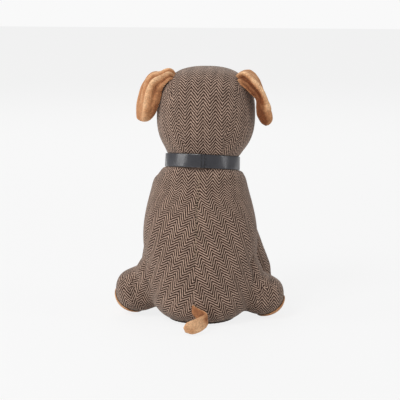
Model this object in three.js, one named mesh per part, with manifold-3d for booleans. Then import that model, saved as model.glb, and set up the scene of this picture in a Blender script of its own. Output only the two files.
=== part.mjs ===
// Weighted door stop: a sitting dog sewn from tweed, stuffed with fibre and ballasted with sand.
// Millimetres, +Z up. The dog faces -Y, its left side is +X, and the origin is the middle of its base.

import * as THREE from 'three';
import { mergeVertices } from 'three/addons/utils/BufferGeometryUtils.js';
import Module from 'manifold-3d';

const wasm = await Module();
wasm.setup();

// The cover's cloth, and the clearance between pieces that are sewn or seated together
const tweedThickness = 2.2;
const seamGap = 0.3;

// Body: half-widths and the places of its back and chest, by height
const baseHalfWidth = 53;
const hipHeight = 88;
const hipHalfWidth = 64.5;
const hipShift = -0.6;
const shoulderHeight = 146;
const shoulderHalfWidth = 54;
const shoulderShift = 0.2;
const napeHeight = 159;
const napeHalfWidth = 48;
const napeShift = -1;
const backAtBase = 65;
const backAtShoulder = 45;
const chestAtBase = 52;
const chestAtShoulder = 45;
const bodySquareness = 2.3;
const baseRounding = 23;
const basePanelMargin = 11;

// Neck: the seam between body and head, tipped down to the front and to the dog's right
const neckHeight = 173;
const neckRadius = 38.8;
const neckShift = -2.8;
const neckPitch = THREE.MathUtils.degToRad(9.5);
const neckRoll = THREE.MathUtils.degToRad(2);

// Hind leg: from the hip joint inside the body to the foot beside it. The right foot lies further back.
const hipJoint = new THREE.Vector3(36, 12, 46);
const hipRadius = 28;
const footCentre = new THREE.Vector3(69, -1, 27);
const rightFootBack = 2.5;
const rightFootDrop = 3;
const footRadius = 27.3;
const legBlend = 15;
const soleRadius = 20;
const soleAxis = new THREE.Vector3(0.65, -0.3, -0.7).normalize();

// Foreleg: from the shoulder to the ankle, with the paw in front. The right one stands further out.
const shoulderJoint = new THREE.Vector3(38, -28, 106);
const forelegTopRadius = 22;
const ankle = new THREE.Vector3(51, -50, 43);
const ankleRadius = 22.5;
const pawCentre = new THREE.Vector3(52, -61, 21);
const pawRadii = new THREE.Vector3(25, 28, 21.5);
const pawBlend = 10;
const rightPawOut = 3.5;

// Head: a squarish ball above the neck with a short muzzle
const headCentre = new THREE.Vector3(-6, -9, 225);
const headRadii = new THREE.Vector3(54.8, 55, 53);
const headSquareness = 2.55;
const neckBlend = 9;
const muzzleForward = 49;
const muzzleDrop = 17;
const muzzleRadii = new THREE.Vector3(27, 27, 20);
const muzzleBlend = 13;

// Nose, and eyes of the kind that lock through the cloth
const noseRadii = new THREE.Vector3(11, 6.5, 8);
const noseRise = 8;
const eyeSpread = THREE.MathUtils.degToRad(24);
const eyeRise = THREE.MathUtils.degToRad(16);
const eyeRadius = 6;
const eyeDome = 4.2;
const shankRadius = 1.8;
const washerRadius = 7;
const washerThickness = 1.4;
const shankBeyondWasher = 1.5;

// Collar: a strap whose ends overlap at the back
const collarWidth = 14.5;
const collarThickness = 2.2;
const collarOverlap = 12;
const collarEase = 0.3;

// Ears: a leaf of two suede layers, folded lengthways over a crest, with its root pleated into the head's
// seam. Pleats are as wide as a share of half the leaf. The rim of a leaf keeps a share of its thickness.
const earLength = 78;
const earWidth = 40;
const earThickness = 4.2;
const earRootBack = 0.3;
const crestRounding = 0.2;
const pleatWidth = 0.17;
const rimShare = 0.2;

// Tail: a flat leaf of suede, folded back on itself
const tailHeight = 19;
const tailShift = 1.7;
const tailLength = 46;
const tailHalfWidth = 8.4;
const tailThickness = 4;

// Weight: a bag of sand on the base panel
const bagRadii = new THREE.Vector3(43, 41, 25);
const bagSquareness = 2.8;

// How many times each edge of an icosahedron is divided to make a skin. Cover, lining and filling of one
// form share it, so that they lie inside each other everywhere.
const bodyDetail = 7;
const headDetail = 5;
const legDetail = 3;
const padDetail = 2;

const colours = {
  tweed: '#75614f',
  suede: '#c18a5e',
  leatherette: '#4c4c50',
  canvas: '#3d342d',
  fibre: '#e8e4da',
  sand: '#b9a27e',
  blackPlastic: '#141212',
  clearPlastic: '#d8d8d4',
};

function material(colour, roughness) {
  return new THREE.MeshStandardMaterial({ color: colour, roughness, metalness: 0 });
}

// A closed geometry as a solid that can be cut and joined
function solidOf(geometry) {
  const bare = geometry.clone();
  bare.deleteAttribute('normal');
  bare.deleteAttribute('uv');
  const merged = mergeVertices(bare, 1e-4);
  return new wasm.Manifold(new wasm.Mesh({
    numProp: 3,
    vertProperties: merged.attributes.position.array,
    triVerts: new Uint32Array(merged.index.array),
  }));
}

function geometryOf(solid) {
  const mesh = solid.getMesh();
  const geometry = new THREE.BufferGeometry();
  geometry.setAttribute('position', new THREE.BufferAttribute(mesh.vertProperties, 3));
  geometry.setIndex(new THREE.BufferAttribute(mesh.triVerts, 1));
  geometry.computeVertexNormals();
  return geometry;
}

// A stuffed form is written as a function of a point that is negative inside, in millimetres
function join(a, b, blend) {
  const h = Math.max(blend - Math.abs(a - b), 0) / blend;
  return Math.min(a, b) - (h * h * blend) / 4;
}

function roundedBoth(a, b, radius) {
  const outside = Math.hypot(Math.max(a + radius, 0), Math.max(b + radius, 0));
  return Math.min(Math.max(a, b), -radius) + outside;
}

function ball(point, centre, radii, squareness) {
  const x = Math.abs(point.x - centre.x) / radii.x;
  const y = Math.abs(point.y - centre.y) / radii.y;
  const z = Math.abs(point.z - centre.z) / radii.z;
  const reach = (x ** squareness + y ** squareness + z ** squareness) ** (1 / squareness);
  return (reach - 1) * Math.min(radii.x, radii.y, radii.z);
}

function limb(point, from, fromRadius, to, toRadius) {
  const line = new THREE.Line3(from, to);
  const along = line.closestPointToPointParameter(point, true);
  const nearest = line.at(along, new THREE.Vector3());
  return point.distanceTo(nearest) - THREE.MathUtils.lerp(fromRadius, toRadius, along);
}

// A smooth curve of one size against height, through the given stations
function sizeByHeight(stations) {
  const curve = new THREE.SplineCurve(stations.map(([height, size]) => new THREE.Vector2(height, size)));
  const samples = curve.getPoints(120);
  return (height) => {
    const above = samples.findIndex((sample) => sample.x >= height);
    if (above < 0) return samples.at(-1).y;
    if (above === 0) return samples[0].y;
    const low = samples[above - 1];
    const high = samples[above];
    return THREE.MathUtils.mapLinear(height, low.x, high.x, low.y, high.y);
  };
}

// The skin of a form: every point of a divided icosahedron goes out from the centre to the surface
function skinned(form, centre, detail) {
  const geometry = new THREE.IcosahedronGeometry(1, detail);
  const places = geometry.attributes.position;
  const direction = new THREE.Vector3();
  const point = new THREE.Vector3();
  for (let i = 0; i < places.count; i += 1) {
    direction.fromBufferAttribute(places, i).normalize();
    let outside = 4;
    while (form(point.copy(centre).addScaledVector(direction, outside)) < 0) outside += 4;
    let inside = outside - 4;
    for (let step = 0; step < 16; step += 1) {
      const middle = (inside + outside) / 2;
      if (form(point.copy(centre).addScaledVector(direction, middle)) < 0) inside = middle;
      else outside = middle;
    }
    point.copy(centre).addScaledVector(direction, inside);
    places.setXYZ(i, point.x, point.y, point.z);
  }
  return solidOf(geometry);
}

// The point where a line from a centre leaves a form
function surfacePoint(form, centre, direction) {
  let inside = 0;
  let outside = 400;
  for (let step = 0; step < 30; step += 1) {
    const middle = (inside + outside) / 2;
    const point = centre.clone().addScaledVector(direction, middle);
    if (form(point) < 0) inside = middle;
    else outside = middle;
  }
  return centre.clone().addScaledVector(direction, inside);
}

// A geometry made along +Z is turned to an axis and moved to a place
function placed(geometry, axis, place) {
  geometry.applyQuaternion(new THREE.Quaternion().setFromUnitVectors(new THREE.Vector3(0, 0, 1), axis));
  geometry.translate(place.x, place.y, place.z);
  return solidOf(geometry);
}

function cylinderAlong(radius, from, to, axis, place, sides = 32) {
  const geometry = new THREE.CylinderGeometry(radius, radius, to - from, sides);
  geometry.rotateX(Math.PI / 2);
  geometry.translate(0, 0, (from + to) / 2);
  return placed(geometry, axis, place);
}

function mirrored(vector, side) {
  return new THREE.Vector3(vector.x * side, vector.y, vector.z);
}

function footAt(side) {
  const foot = mirrored(footCentre, side);
  return side > 0 ? foot : foot.add(new THREE.Vector3(0, rightFootBack, -rightFootDrop));
}

// A point of the lower foreleg on either side
function lowerForeleg(point, side) {
  const place = mirrored(point, side);
  return side > 0 ? place : place.add(new THREE.Vector3(-rightPawOut, 0, 0));
}

// Body form
const halfWidthAt = sizeByHeight([
  [0, baseHalfWidth],
  [hipHeight, hipHalfWidth],
  [shoulderHeight, shoulderHalfWidth],
  [napeHeight, napeHalfWidth],
  [neckHeight, neckRadius],
]);
const backAt = sizeByHeight([[0, backAtBase], [shoulderHeight, backAtShoulder], [neckHeight, neckRadius]]);
const chestAt = sizeByHeight([[0, chestAtBase], [shoulderHeight, chestAtShoulder], [neckHeight, neckRadius]]);
const shiftAt = sizeByHeight([
  [0, 0],
  [hipHeight, hipShift],
  [shoulderHeight, shoulderShift],
  [napeHeight, napeShift],
  [neckHeight, neckShift],
]);

const neckCentre = new THREE.Vector3(neckShift, 0, neckHeight);
const neckAxis = new THREE.Vector3(-Math.tan(neckRoll), -Math.tan(neckPitch), 1).normalize();
const bodyCentre = new THREE.Vector3(0, 0, hipHeight * 0.75);

function torsoForm(point) {
  const halfWidth = halfWidthAt(point.z);
  const back = backAt(point.z);
  const chest = chestAt(point.z);
  const halfDepth = (back + chest) / 2;
  const across = Math.abs(point.x - shiftAt(point.z)) / halfWidth;
  const through = Math.abs(point.y - (back - chest) / 2) / halfDepth;
  const reach = (across ** bodySquareness + through ** bodySquareness) ** (1 / bodySquareness);
  const side = (reach - 1) * Math.min(halfWidth, halfDepth);
  const top = point.z - neckHeight - collarWidth;
  return Math.max(roundedBoth(side, -point.z, baseRounding), top);
}

function bodyForm(point) {
  let distance = torsoForm(point);
  for (const side of [1, -1]) {
    const hip = mirrored(hipJoint, side);
    const leg = limb(point, hip, hipRadius, footAt(side), footRadius);
    distance = join(distance, leg, legBlend);
  }
  return Math.max(distance, -point.z);
}

function forelegForm(point, side) {
  const shoulder = mirrored(shoulderJoint, side);
  const leg = limb(point, shoulder, forelegTopRadius, lowerForeleg(ankle, side), ankleRadius);
  const paw = ball(point, lowerForeleg(pawCentre, side), pawRadii, 2);
  return Math.max(join(leg, paw, pawBlend), -point.z);
}

function headForm(point) {
  const skull = ball(point, headCentre, headRadii, headSquareness);
  const neckEnd = neckCentre.clone().addScaledVector(neckAxis, -collarWidth);
  const neck = limb(point, headCentre, neckRadius, neckEnd, neckRadius);
  const muzzleCentre = headCentre.clone().add(new THREE.Vector3(0, -muzzleForward, -muzzleDrop));
  const muzzle = ball(point, muzzleCentre, muzzleRadii, 2);
  return join(join(skull, neck, neckBlend), muzzle, muzzleBlend);
}

// A skin set in from a form by some distance
function inset(form, depth) {
  return (point) => form(point) + depth;
}

// Everything above the neck seam, or below it for side -1, with half the clearance
function beyondNeck(side) {
  const reach = 300;
  return cylinderAlong(reach, -seamGap / 2, reach, neckAxis.clone().multiplyScalar(side), neckCentre, 8);
}

// The groove that the collar draws into the neck, for a skin at some depth below the surface
function collarGroove(depth) {
  const halfHeight = collarWidth / 2 + seamGap + depth;
  const wide = cylinderAlong(neckRadius * 2, -halfHeight, halfHeight, neckAxis, neckCentre, 8);
  const neck = cylinderAlong(neckRadius - depth, -halfHeight * 2, halfHeight * 2, neckAxis, neckCentre, 28);
  return wide.subtract(neck);
}

function grooved(form, centre, detail, depth) {
  return skinned(inset(form, depth), centre, detail).subtract(collarGroove(depth));
}

const fillingDepth = tweedThickness + seamGap;
const bodyOuter = grooved(bodyForm, bodyCentre, bodyDetail, 0);
const bodyLining = grooved(bodyForm, bodyCentre, bodyDetail, tweedThickness);
const bodyGrown = skinned(inset(bodyForm, -seamGap), bodyCentre, bodyDetail);
const headOuter = grooved(headForm, headCentre, headDetail, 0);
const headLining = grooved(headForm, headCentre, headDetail, tweedThickness);
const headGrown = skinned(inset(headForm, -seamGap), headCentre, headDetail);

// The base opening of the body cover is an oval, closed by the base panel
function baseOval(gap, low, high) {
  const shape = new THREE.Shape();
  const halfWidth = baseHalfWidth - baseRounding + basePanelMargin - gap;
  const halfDepth = (backAtBase + chestAtBase) / 2 - baseRounding + basePanelMargin - gap;
  shape.absellipse(0, (backAtBase - chestAtBase) / 2, halfWidth, halfDepth, 0, Math.PI * 2);
  const geometry = new THREE.ExtrudeGeometry(shape, {
    depth: high - low, bevelEnabled: false, curveSegments: 10,
  });
  geometry.translate(0, 0, low);
  return solidOf(geometry);
}

// The round window under each hind foot that the sole closes
function soleWindow(side, gap) {
  return cylinderAlong(soleRadius - gap, 0, footRadius * 2, mirrored(soleAxis, side), footAt(side), 18);
}

function bodyCover() {
  return bodyOuter
    .subtract(bodyLining)
    .subtract(beyondNeck(1))
    .subtract(baseOval(0, -baseRounding, baseRounding))
    .subtract(soleWindow(1, 0))
    .subtract(soleWindow(-1, 0));
}

function basePanel() {
  return bodyOuter.intersect(baseOval(seamGap, -baseRounding, tweedThickness));
}

function sole(side) {
  return bodyOuter.subtract(bodyLining).intersect(soleWindow(side, seamGap));
}

// The sand bag stands on the base panel
const bagFloor = tweedThickness + seamGap;
const bagCentre = new THREE.Vector3(0, (backAtBase - chestAtBase) / 2, bagFloor + bagRadii.z * 0.8);

function bagForm(point) {
  return ball(point, bagCentre, bagRadii, bagSquareness);
}

function weightBag() {
  const flatBottomed = (point) => Math.max(bagForm(point), bagFloor - point.z);
  return skinned(flatBottomed, bagCentre, padDetail);
}

function bodyFilling() {
  const bag = skinned(inset(bagForm, -seamGap), bagCentre, padDetail);
  return grooved(bodyForm, bodyCentre, bodyDetail, fillingDepth)
    .subtract(beyondNeck(1))
    .subtract(bag);
}

function foreleg(side) {
  const centre = lowerForeleg(shoulderJoint.clone().lerp(ankle, 0.8), side);
  const form = (point) => forelegForm(point, side);
  const outer = skinned(form, centre, legDetail).subtract(bodyGrown);
  const inner = skinned(inset(form, tweedThickness), centre, legDetail);
  const filling = skinned(inset(form, fillingDepth), centre, legDetail);
  return { cover: outer.subtract(inner), filling: filling.subtract(bodyGrown) };
}

// Eyes look forward from the head's surface
function eyeAxis(side) {
  const turned = new THREE.Vector3(
    side * Math.sin(eyeSpread) * Math.cos(eyeRise),
    -Math.cos(eyeSpread) * Math.cos(eyeRise),
    Math.sin(eyeRise),
  );
  return turned.normalize();
}

function eyeSeat(side) {
  return surfacePoint(headForm, headCentre, eyeAxis(side));
}

function shankDepth() {
  return tweedThickness + seamGap * 2 + washerThickness + shankBeyondWasher;
}

function eye(side) {
  const axis = eyeAxis(side);
  const seat = eyeSeat(side);
  const profile = [new THREE.Vector2(0, -eyeDome)];
  const steps = 4;
  for (let i = 0; i <= steps; i += 1) {
    const turn = (i / steps) * (Math.PI / 2);
    profile.push(new THREE.Vector2(eyeRadius * Math.cos(turn), eyeDome * Math.sin(turn)));
  }
  const dome = new THREE.LatheGeometry(profile, 12);
  dome.rotateX(Math.PI / 2);
  const button = placed(dome, axis, seat).subtract(headGrown);
  return button.add(cylinderAlong(shankRadius, -shankDepth(), eyeDome / 2, axis, seat, 8));
}

function eyeWasher(side) {
  const axis = eyeAxis(side);
  const seat = eyeSeat(side);
  const top = -tweedThickness - seamGap * 2;
  const disc = cylinderAlong(washerRadius, top - washerThickness, top, axis, seat, 12);
  const hole = cylinderAlong(shankRadius + seamGap, -shankDepth() * 2, eyeDome, axis, seat, 8);
  return disc.subtract(hole);
}

// The space that an eye and its washer take in the head
function eyeRoom(side) {
  const axis = eyeAxis(side);
  const seat = eyeSeat(side);
  const behind = -tweedThickness - seamGap;
  const shank = cylinderAlong(shankRadius + seamGap, -shankDepth() - seamGap, eyeDome, axis, seat, 8);
  const washer = cylinderAlong(
    washerRadius + seamGap, behind - washerThickness - seamGap * 2, behind, axis, seat, 12,
  );
  return shank.add(washer);
}

function headCover() {
  return headOuter
    .subtract(headLining)
    .subtract(beyondNeck(-1))
    .subtract(eyeRoom(1))
    .subtract(eyeRoom(-1));
}

function headFilling() {
  return grooved(headForm, headCentre, headDetail, fillingDepth)
    .subtract(beyondNeck(-1))
    .subtract(eyeRoom(1))
    .subtract(eyeRoom(-1));
}

function nose() {
  const towardsTip = new THREE.Vector3(0, -muzzleForward - muzzleRadii.y, -muzzleDrop + noseRise).normalize();
  const seat = surfacePoint(headForm, headCentre, towardsTip);
  const pad = (point) => ball(point, seat, noseRadii, 2.2);
  return skinned(pad, seat, padDetail).subtract(headGrown);
}

// The collar's outline from above is a strap that runs once round and over its own end
function collar() {
  const inner = neckRadius + collarEase;
  const fullTurn = Math.PI * 2;
  const overlapTurn = collarOverlap / inner;
  const climbTurn = overlapTurn * 1.5;
  const rise = collarThickness + seamGap;
  const total = fullTurn + overlapTurn;
  const start = Math.PI / 2 - overlapTurn / 2;
  const steps = 48;
  const near = [];
  const far = [];
  for (let i = 0; i <= steps; i += 1) {
    const turn = (i / steps) * total;
    const lift = rise * THREE.MathUtils.smoothstep(turn, fullTurn - climbTurn, fullTurn);
    const radius = inner + lift;
    const angle = start + turn;
    near.push(new THREE.Vector2(Math.cos(angle) * radius, Math.sin(angle) * radius));
    far.push(new THREE.Vector2(Math.cos(angle), Math.sin(angle)).multiplyScalar(radius + collarThickness));
  }
  const shape = new THREE.Shape([...far, ...near.reverse()]);
  const geometry = new THREE.ExtrudeGeometry(shape, { depth: collarWidth, bevelEnabled: false });
  geometry.translate(0, 0, -collarWidth / 2);
  return placed(geometry, neckAxis, neckCentre);
}

// How high the pleats stand at a place on a leaf; they fade towards its edges and where each one ends
function pleatHeight(pleats, along, across) {
  const heights = pleats.map((pleat) => {
    const fade = 1 - THREE.MathUtils.smoothstep(along, pleat.until / 2, pleat.until);
    return pleat.height * fade * Math.exp(-(((across - pleat.across) / pleatWidth) ** 2));
  });
  return heights.reduce((sum, height) => sum + height, 0) * (1 - across ** 4);
}

// How far a place on a leaf lies out on the wing of its own side, with the crest rounded
function wingShare(across) {
  return (across + Math.hypot(across, crestRounding)) / 2;
}

// The way that a grid of points faces at one of its points
function facing(grid, i, j) {
  const column = grid[i].length - 1;
  const along = grid[Math.min(i + 1, grid.length - 1)][j].clone().sub(grid[Math.max(i - 1, 0)][j]);
  const over = grid[i][Math.min(j + 1, column)].clone().sub(grid[i][Math.max(j - 1, 0)]);
  return along.cross(over).normalize();
}

// A leaf of cloth: rows from root to tip, each with a rear edge, a crest and a front edge
function leaf(rows, thickness, pleats, alongSteps, acrossSteps) {
  const lines = ['rear', 'crest', 'front'].map((line) => {
    return new THREE.CatmullRomCurve3(rows.map((row) => row[line]), false, 'catmullrom');
  });
  const sheet = [];
  for (let i = 0; i <= alongSteps; i += 1) {
    const [rear, crest, front] = lines.map((line) => line.getPoint(i / alongSteps));
    sheet.push([]);
    for (let j = 0; j <= acrossSteps; j += 1) {
      const across = (j / acrossSteps) * 2 - 1;
      const point = crest.clone();
      point.addScaledVector(front.clone().sub(crest), wingShare(across));
      point.addScaledVector(rear.clone().sub(crest), wingShare(-across));
      sheet[i].push(point);
    }
  }
  const inner = [];
  const outer = [];
  sheet.forEach((row, i) => row.forEach((point, j) => {
    const along = i / alongSteps;
    const across = (j / acrossSteps) * 2 - 1;
    const outwards = facing(sheet, i, j).negate();
    const pleated = point.clone().addScaledVector(outwards, pleatHeight(pleats, along, across));
    const rim = Math.max(Math.sqrt(1 - across ** 6), rimShare);
    const end = Math.max(Math.sqrt(1 - along ** 10), rimShare);
    const swell = (thickness / 2) * rim * end;
    inner.push(pleated.clone().addScaledVector(outwards, -swell));
    outer.push(pleated.clone().addScaledVector(outwards, swell));
  }));
  return closedLeaf(inner, outer, alongSteps, acrossSteps);
}

// Two grids of points, front and back, closed round their rim
function closedLeaf(front, back, alongSteps, acrossSteps) {
  const points = [...front, ...back];
  const row = acrossSteps + 1;
  const other = front.length;
  const faces = [];
  const quad = (a, b, c, d) => faces.push(a, b, c, a, c, d);
  for (let i = 0; i < alongSteps; i += 1) {
    for (let j = 0; j < acrossSteps; j += 1) {
      const corner = i * row + j;
      quad(corner, corner + row, corner + row + 1, corner + 1);
      quad(other + corner, other + corner + 1, other + corner + row + 1, other + corner + row);
    }
    const left = i * row;
    const right = left + acrossSteps;
    quad(left, other + left, other + left + row, left + row);
    quad(right, right + row, other + right + row, other + right);
  }
  const last = alongSteps * row;
  for (let j = 0; j < acrossSteps; j += 1) {
    quad(j, j + 1, other + j + 1, other + j);
    quad(last + j, other + last + j, other + last + j + 1, last + j + 1);
  }
  const geometry = new THREE.BufferGeometry().setFromPoints(points);
  geometry.setIndex(faces);
  return solidOf(geometry);
}

// Each ear hangs its own way. Its rows go from the root, which lies inside the head and is cut off there,
// to the tip. A crest is (out, back, up) from the root in shares of the ear's length. The rear and front
// edges lie off the crest by shares of the ear's width. A pleat lies at a share of the wing, towards the
// front edge, stands up by a height, or sinks where that is negative, and has faded out by a share of the
// length.
const earHangs = {
  left: {
    rootSide: THREE.MathUtils.degToRad(36),
    pleats: [
      { across: 0.55, height: 3, until: 0.65 },
      { across: 0.28, height: -2.4, until: 0.6 },
      { across: 0, height: 1.6, until: 1 },
    ],
    rows: [
      { crest: [-0.02, -0.02, -0.11], rear: [0, 0.08, -0.08], front: [0.02, -0.18, 0.06] },
      { crest: [0.06, 0.05, 0.01], rear: [-0.05, 0.1, -0.12], front: [0, -0.3, 0.12] },
      { crest: [0.16, 0.13, -0.03], rear: [-0.07, 0.03, -0.21], front: [0.06, -0.58, 0.1] },
      { crest: [0.28, 0.19, -0.11], rear: [-0.16, -0.05, -0.24], front: [0.16, -0.75, 0.18] },
      { crest: [0.33, 0.23, -0.23], rear: [-0.27, -0.1, -0.16], front: [0.33, -0.8, 0] },
      { crest: [0.36, 0.26, -0.4], rear: [-0.3, -0.12, -0.04], front: [0.36, -0.75, -0.14] },
      { crest: [0.4, 0.22, -0.56], rear: [-0.27, -0.08, 0], front: [0.27, -0.6, -0.12] },
      { crest: [0.44, 0.09, -0.67], rear: [-0.15, 0.02, 0.02], front: [0.1, -0.2, 0] },
    ],
  },
  right: {
    rootSide: THREE.MathUtils.degToRad(44),
    pleats: [
      { across: 0.3, height: -3.6, until: 0.6 },
      { across: 0, height: 1.2, until: 0.9 },
    ],
    rows: [
      { crest: [-0.09, -0.03, -0.01], rear: [0.01, 0.15, -0.12], front: [-0.01, -0.22, 0.05] },
      { crest: [0.02, 0.03, 0.09], rear: [-0.04, 0.18, -0.3], front: [-0.05, -0.35, 0.01] },
      { crest: [0.1, 0.14, 0.05], rear: [-0.04, 0.08, -0.35], front: [0.02, -0.58, 0.1] },
      { crest: [0.2, 0.21, -0.05], rear: [-0.08, -0.02, -0.3], front: [0.04, -0.72, 0.11] },
      { crest: [0.3, 0.22, -0.17], rear: [-0.16, -0.08, -0.21], front: [-0.02, -0.72, -0.01] },
      { crest: [0.37, 0.22, -0.29], rear: [-0.29, -0.15, -0.2], front: [-0.05, -0.72, -0.1] },
      { crest: [0.42, 0.19, -0.44], rear: [-0.36, -0.18, -0.14], front: [-0.05, -0.65, -0.09] },
      { crest: [0.43, 0.13, -0.55], rear: [-0.28, -0.1, -0.1], front: [-0.04, -0.45, -0.08] },
      { crest: [0.37, 0.04, -0.65], rear: [-0.05, -0.02, -0.01], front: [0.02, -0.12, 0] },
    ],
  },
};

// A point of an ear, on either side, in shares of one of its sizes
function earOffset([out, back, up], side, size) {
  return new THREE.Vector3(side * out, back, up).multiplyScalar(size);
}

function ear(side, hang) {
  const rootDirection = new THREE.Vector3(side * Math.sin(hang.rootSide), earRootBack, Math.cos(hang.rootSide));
  const root = surfacePoint(headForm, headCentre, rootDirection.normalize());
  const rows = hang.rows.map((row) => {
    const crest = earOffset(row.crest, side, earLength).add(root);
    const inner = earOffset(row.rear, side, earWidth).add(crest);
    const outer = earOffset(row.front, side, earWidth).add(crest);
    return side > 0 ? { rear: inner, crest, front: outer } : { rear: outer, crest, front: inner };
  });
  const pleats = hang.pleats.map((pleat) => ({ ...pleat, across: pleat.across * side }));
  return leaf(rows, earThickness, pleats, 10, 12).subtract(headGrown);
}

// The tail leaves the back as a point, runs to the dog's right and folds back to its left
const tailRows = [
  { right: -0.02, back: -0.1, up: 0.08, lean: [0, 0, 0.4] },
  { right: 0.01, back: 0, up: 0, lean: [0, 0, 0.6] },
  { right: 0.15, back: 0.13, up: -0.06, lean: [0, 0.1, 0.75] },
  { right: 0.32, back: 0.26, up: -0.12, lean: [0.05, 0.3, 0.75] },
  { right: 0.26, back: 0.46, up: -0.16, lean: [0.3, 0.3, 0.8] },
  { right: 0.13, back: 0.66, up: -0.2, lean: [0.42, 0.15, 0.82] },
  { right: -0.03, back: 0.74, up: -0.25, lean: [0.4, 0, 0.72] },
  { right: -0.15, back: 0.73, up: -0.29, lean: [0.12, 0, 0.3] },
];

function tail() {
  const outwards = new THREE.Vector3(tailShift, backAtBase, 0).normalize();
  const root = surfacePoint(bodyForm, new THREE.Vector3(0, 0, tailHeight), outwards);
  const rows = tailRows.map(({ right, back, up, lean }) => {
    const crest = new THREE.Vector3(-right, back, up).multiplyScalar(tailLength).add(root);
    const half = new THREE.Vector3(...lean).multiplyScalar(tailHalfWidth);
    return { rear: crest.clone().sub(half), crest, front: crest.clone().add(half) };
  });
  return leaf(rows, tailThickness, [], 16, 4).subtract(bodyGrown);
}

const dog = new THREE.Group();

function addPiece(name, solid, finish) {
  const mesh = new THREE.Mesh(geometryOf(solid), finish);
  mesh.name = name;
  dog.add(mesh);
}

const tweed = material(colours.tweed, 0.95);
const suede = material(colours.suede, 0.9);
const leatherette = material(colours.leatherette, 0.45);
const canvas = material(colours.canvas, 0.95);
const fibre = material(colours.fibre, 1);
const sand = material(colours.sand, 1);
const blackPlastic = material(colours.blackPlastic, 0.15);
const clearPlastic = material(colours.clearPlastic, 0.4);

addPiece('body_cover', bodyCover(), tweed);
addPiece('body_filling', bodyFilling(), fibre);
addPiece('weight_bag', weightBag(), sand);
addPiece('base_panel', basePanel(), canvas);
addPiece('head_cover', headCover(), tweed);
addPiece('head_filling', headFilling(), fibre);
addPiece('collar', collar(), leatherette);
addPiece('nose', nose(), leatherette);
addPiece('tail', tail(), suede);
for (const [word, side] of [['left', 1], ['right', -1]]) {
  const leg = foreleg(side);
  addPiece(`foreleg_cover_${word}`, leg.cover, tweed);
  addPiece(`foreleg_filling_${word}`, leg.filling, fibre);
  addPiece(`sole_${word}`, sole(side), suede);
  addPiece(`ear_${word}`, ear(side, earHangs[word]), suede);
  addPiece(`eye_${word}`, eye(side), blackPlastic);
  addPiece(`eye_washer_${word}`, eyeWasher(side), clearPlastic);
}

export default dog;
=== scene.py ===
import bpy
import math
import numpy as np
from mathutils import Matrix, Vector, noise
from mathutils.kdtree import KDTree


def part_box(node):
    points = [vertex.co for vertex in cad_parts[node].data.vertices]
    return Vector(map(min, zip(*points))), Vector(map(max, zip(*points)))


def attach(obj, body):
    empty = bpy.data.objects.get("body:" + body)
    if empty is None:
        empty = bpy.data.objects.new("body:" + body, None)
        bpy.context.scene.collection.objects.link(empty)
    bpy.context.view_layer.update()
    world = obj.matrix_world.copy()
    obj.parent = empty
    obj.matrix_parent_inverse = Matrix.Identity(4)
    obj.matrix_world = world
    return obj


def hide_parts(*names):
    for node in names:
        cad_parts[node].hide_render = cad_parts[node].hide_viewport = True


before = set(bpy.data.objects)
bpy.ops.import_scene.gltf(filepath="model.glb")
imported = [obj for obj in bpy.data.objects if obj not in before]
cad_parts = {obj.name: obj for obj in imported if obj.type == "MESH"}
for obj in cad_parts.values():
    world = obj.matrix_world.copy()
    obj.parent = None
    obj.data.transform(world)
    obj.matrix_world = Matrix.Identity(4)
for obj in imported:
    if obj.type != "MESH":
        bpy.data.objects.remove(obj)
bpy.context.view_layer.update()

# The room: a pale floor that keeps a faint shadow, a pale backdrop that only the camera sees, soft lamps
# at a plain level, and a camera on the dog's back, a little above it.
mm = 0.001
scene = bpy.context.scene
scene.view_settings.view_transform = "Standard"


def linear(code):
    """sRGB hex to a linear colour with alpha"""
    channels = [int(code[i : i + 2], 16) / 255 for i in (1, 3, 5)]
    return [c / 12.92 if c <= 0.04045 else ((c + 0.055) / 1.055) ** 2.4 for c in channels] + [1]


def add(tree, kind, *values, **named):
    """Adds a node. Values fill its inputs in order, and a node among them stands for its first output. A
    named value goes to the input of that name, _ for a space, or to the setting if it has a small letter."""
    made = tree.nodes.new(kind)
    for name in [name for name in named if name[0].islower()]:
        setattr(made, name, named.pop(name))
    sockets = [socket for socket in made.inputs if socket.enabled]
    by_name = {socket.name: socket for socket in reversed(sockets)}
    given = list(zip(sockets, values)) + [(by_name[name.replace("_", " ")], named[name]) for name in named]
    for socket, value in given:
        if isinstance(value, bpy.types.Node):
            value = next(output for output in value.outputs if output.enabled)
        if isinstance(value, bpy.types.NodeSocket):
            tree.links.new(value, socket)
        else:
            socket.default_value = value
    return made


def shader_tree(data):
    """The node tree of a new material or world, emptied"""
    data.use_nodes = True
    data.node_tree.nodes.clear()
    return data.node_tree


backdrop_colour = linear("#F9F9F9")
floor_colour = linear("#EDEDED")
floor_shadow_share = 0.12
floor_reach = 4.0
ambient_strength = 0.42

floor_paint = bpy.data.materials.new("pale_floor")
tree = shader_tree(floor_paint)
path = add(tree, "ShaderNodeLightPath")
paint = add(tree, "ShaderNodeBsdfDiffuse", floor_colour)
glow = add(tree, "ShaderNodeEmission", backdrop_colour, 1.0)
both = add(tree, "ShaderNodeMixShader", 1 - floor_shadow_share, paint, glow)
seen = add(tree, "ShaderNodeMixShader", path.outputs["Is Camera Ray"], paint, both)
add(tree, "ShaderNodeOutputMaterial", seen)

floor_mesh = bpy.data.meshes.new("floor")
floor_corners = [(x * floor_reach, y * floor_reach, 0) for x, y in ((-1, -1), (1, -1), (1, 1), (-1, 1))]
floor_mesh.from_pydata(floor_corners, [], [(0, 1, 2, 3)])
floor_mesh.materials.append(floor_paint)
floor = bpy.data.objects.new("floor", floor_mesh)
scene.collection.objects.link(floor)
floor.location.z = -0.4 * mm

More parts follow.
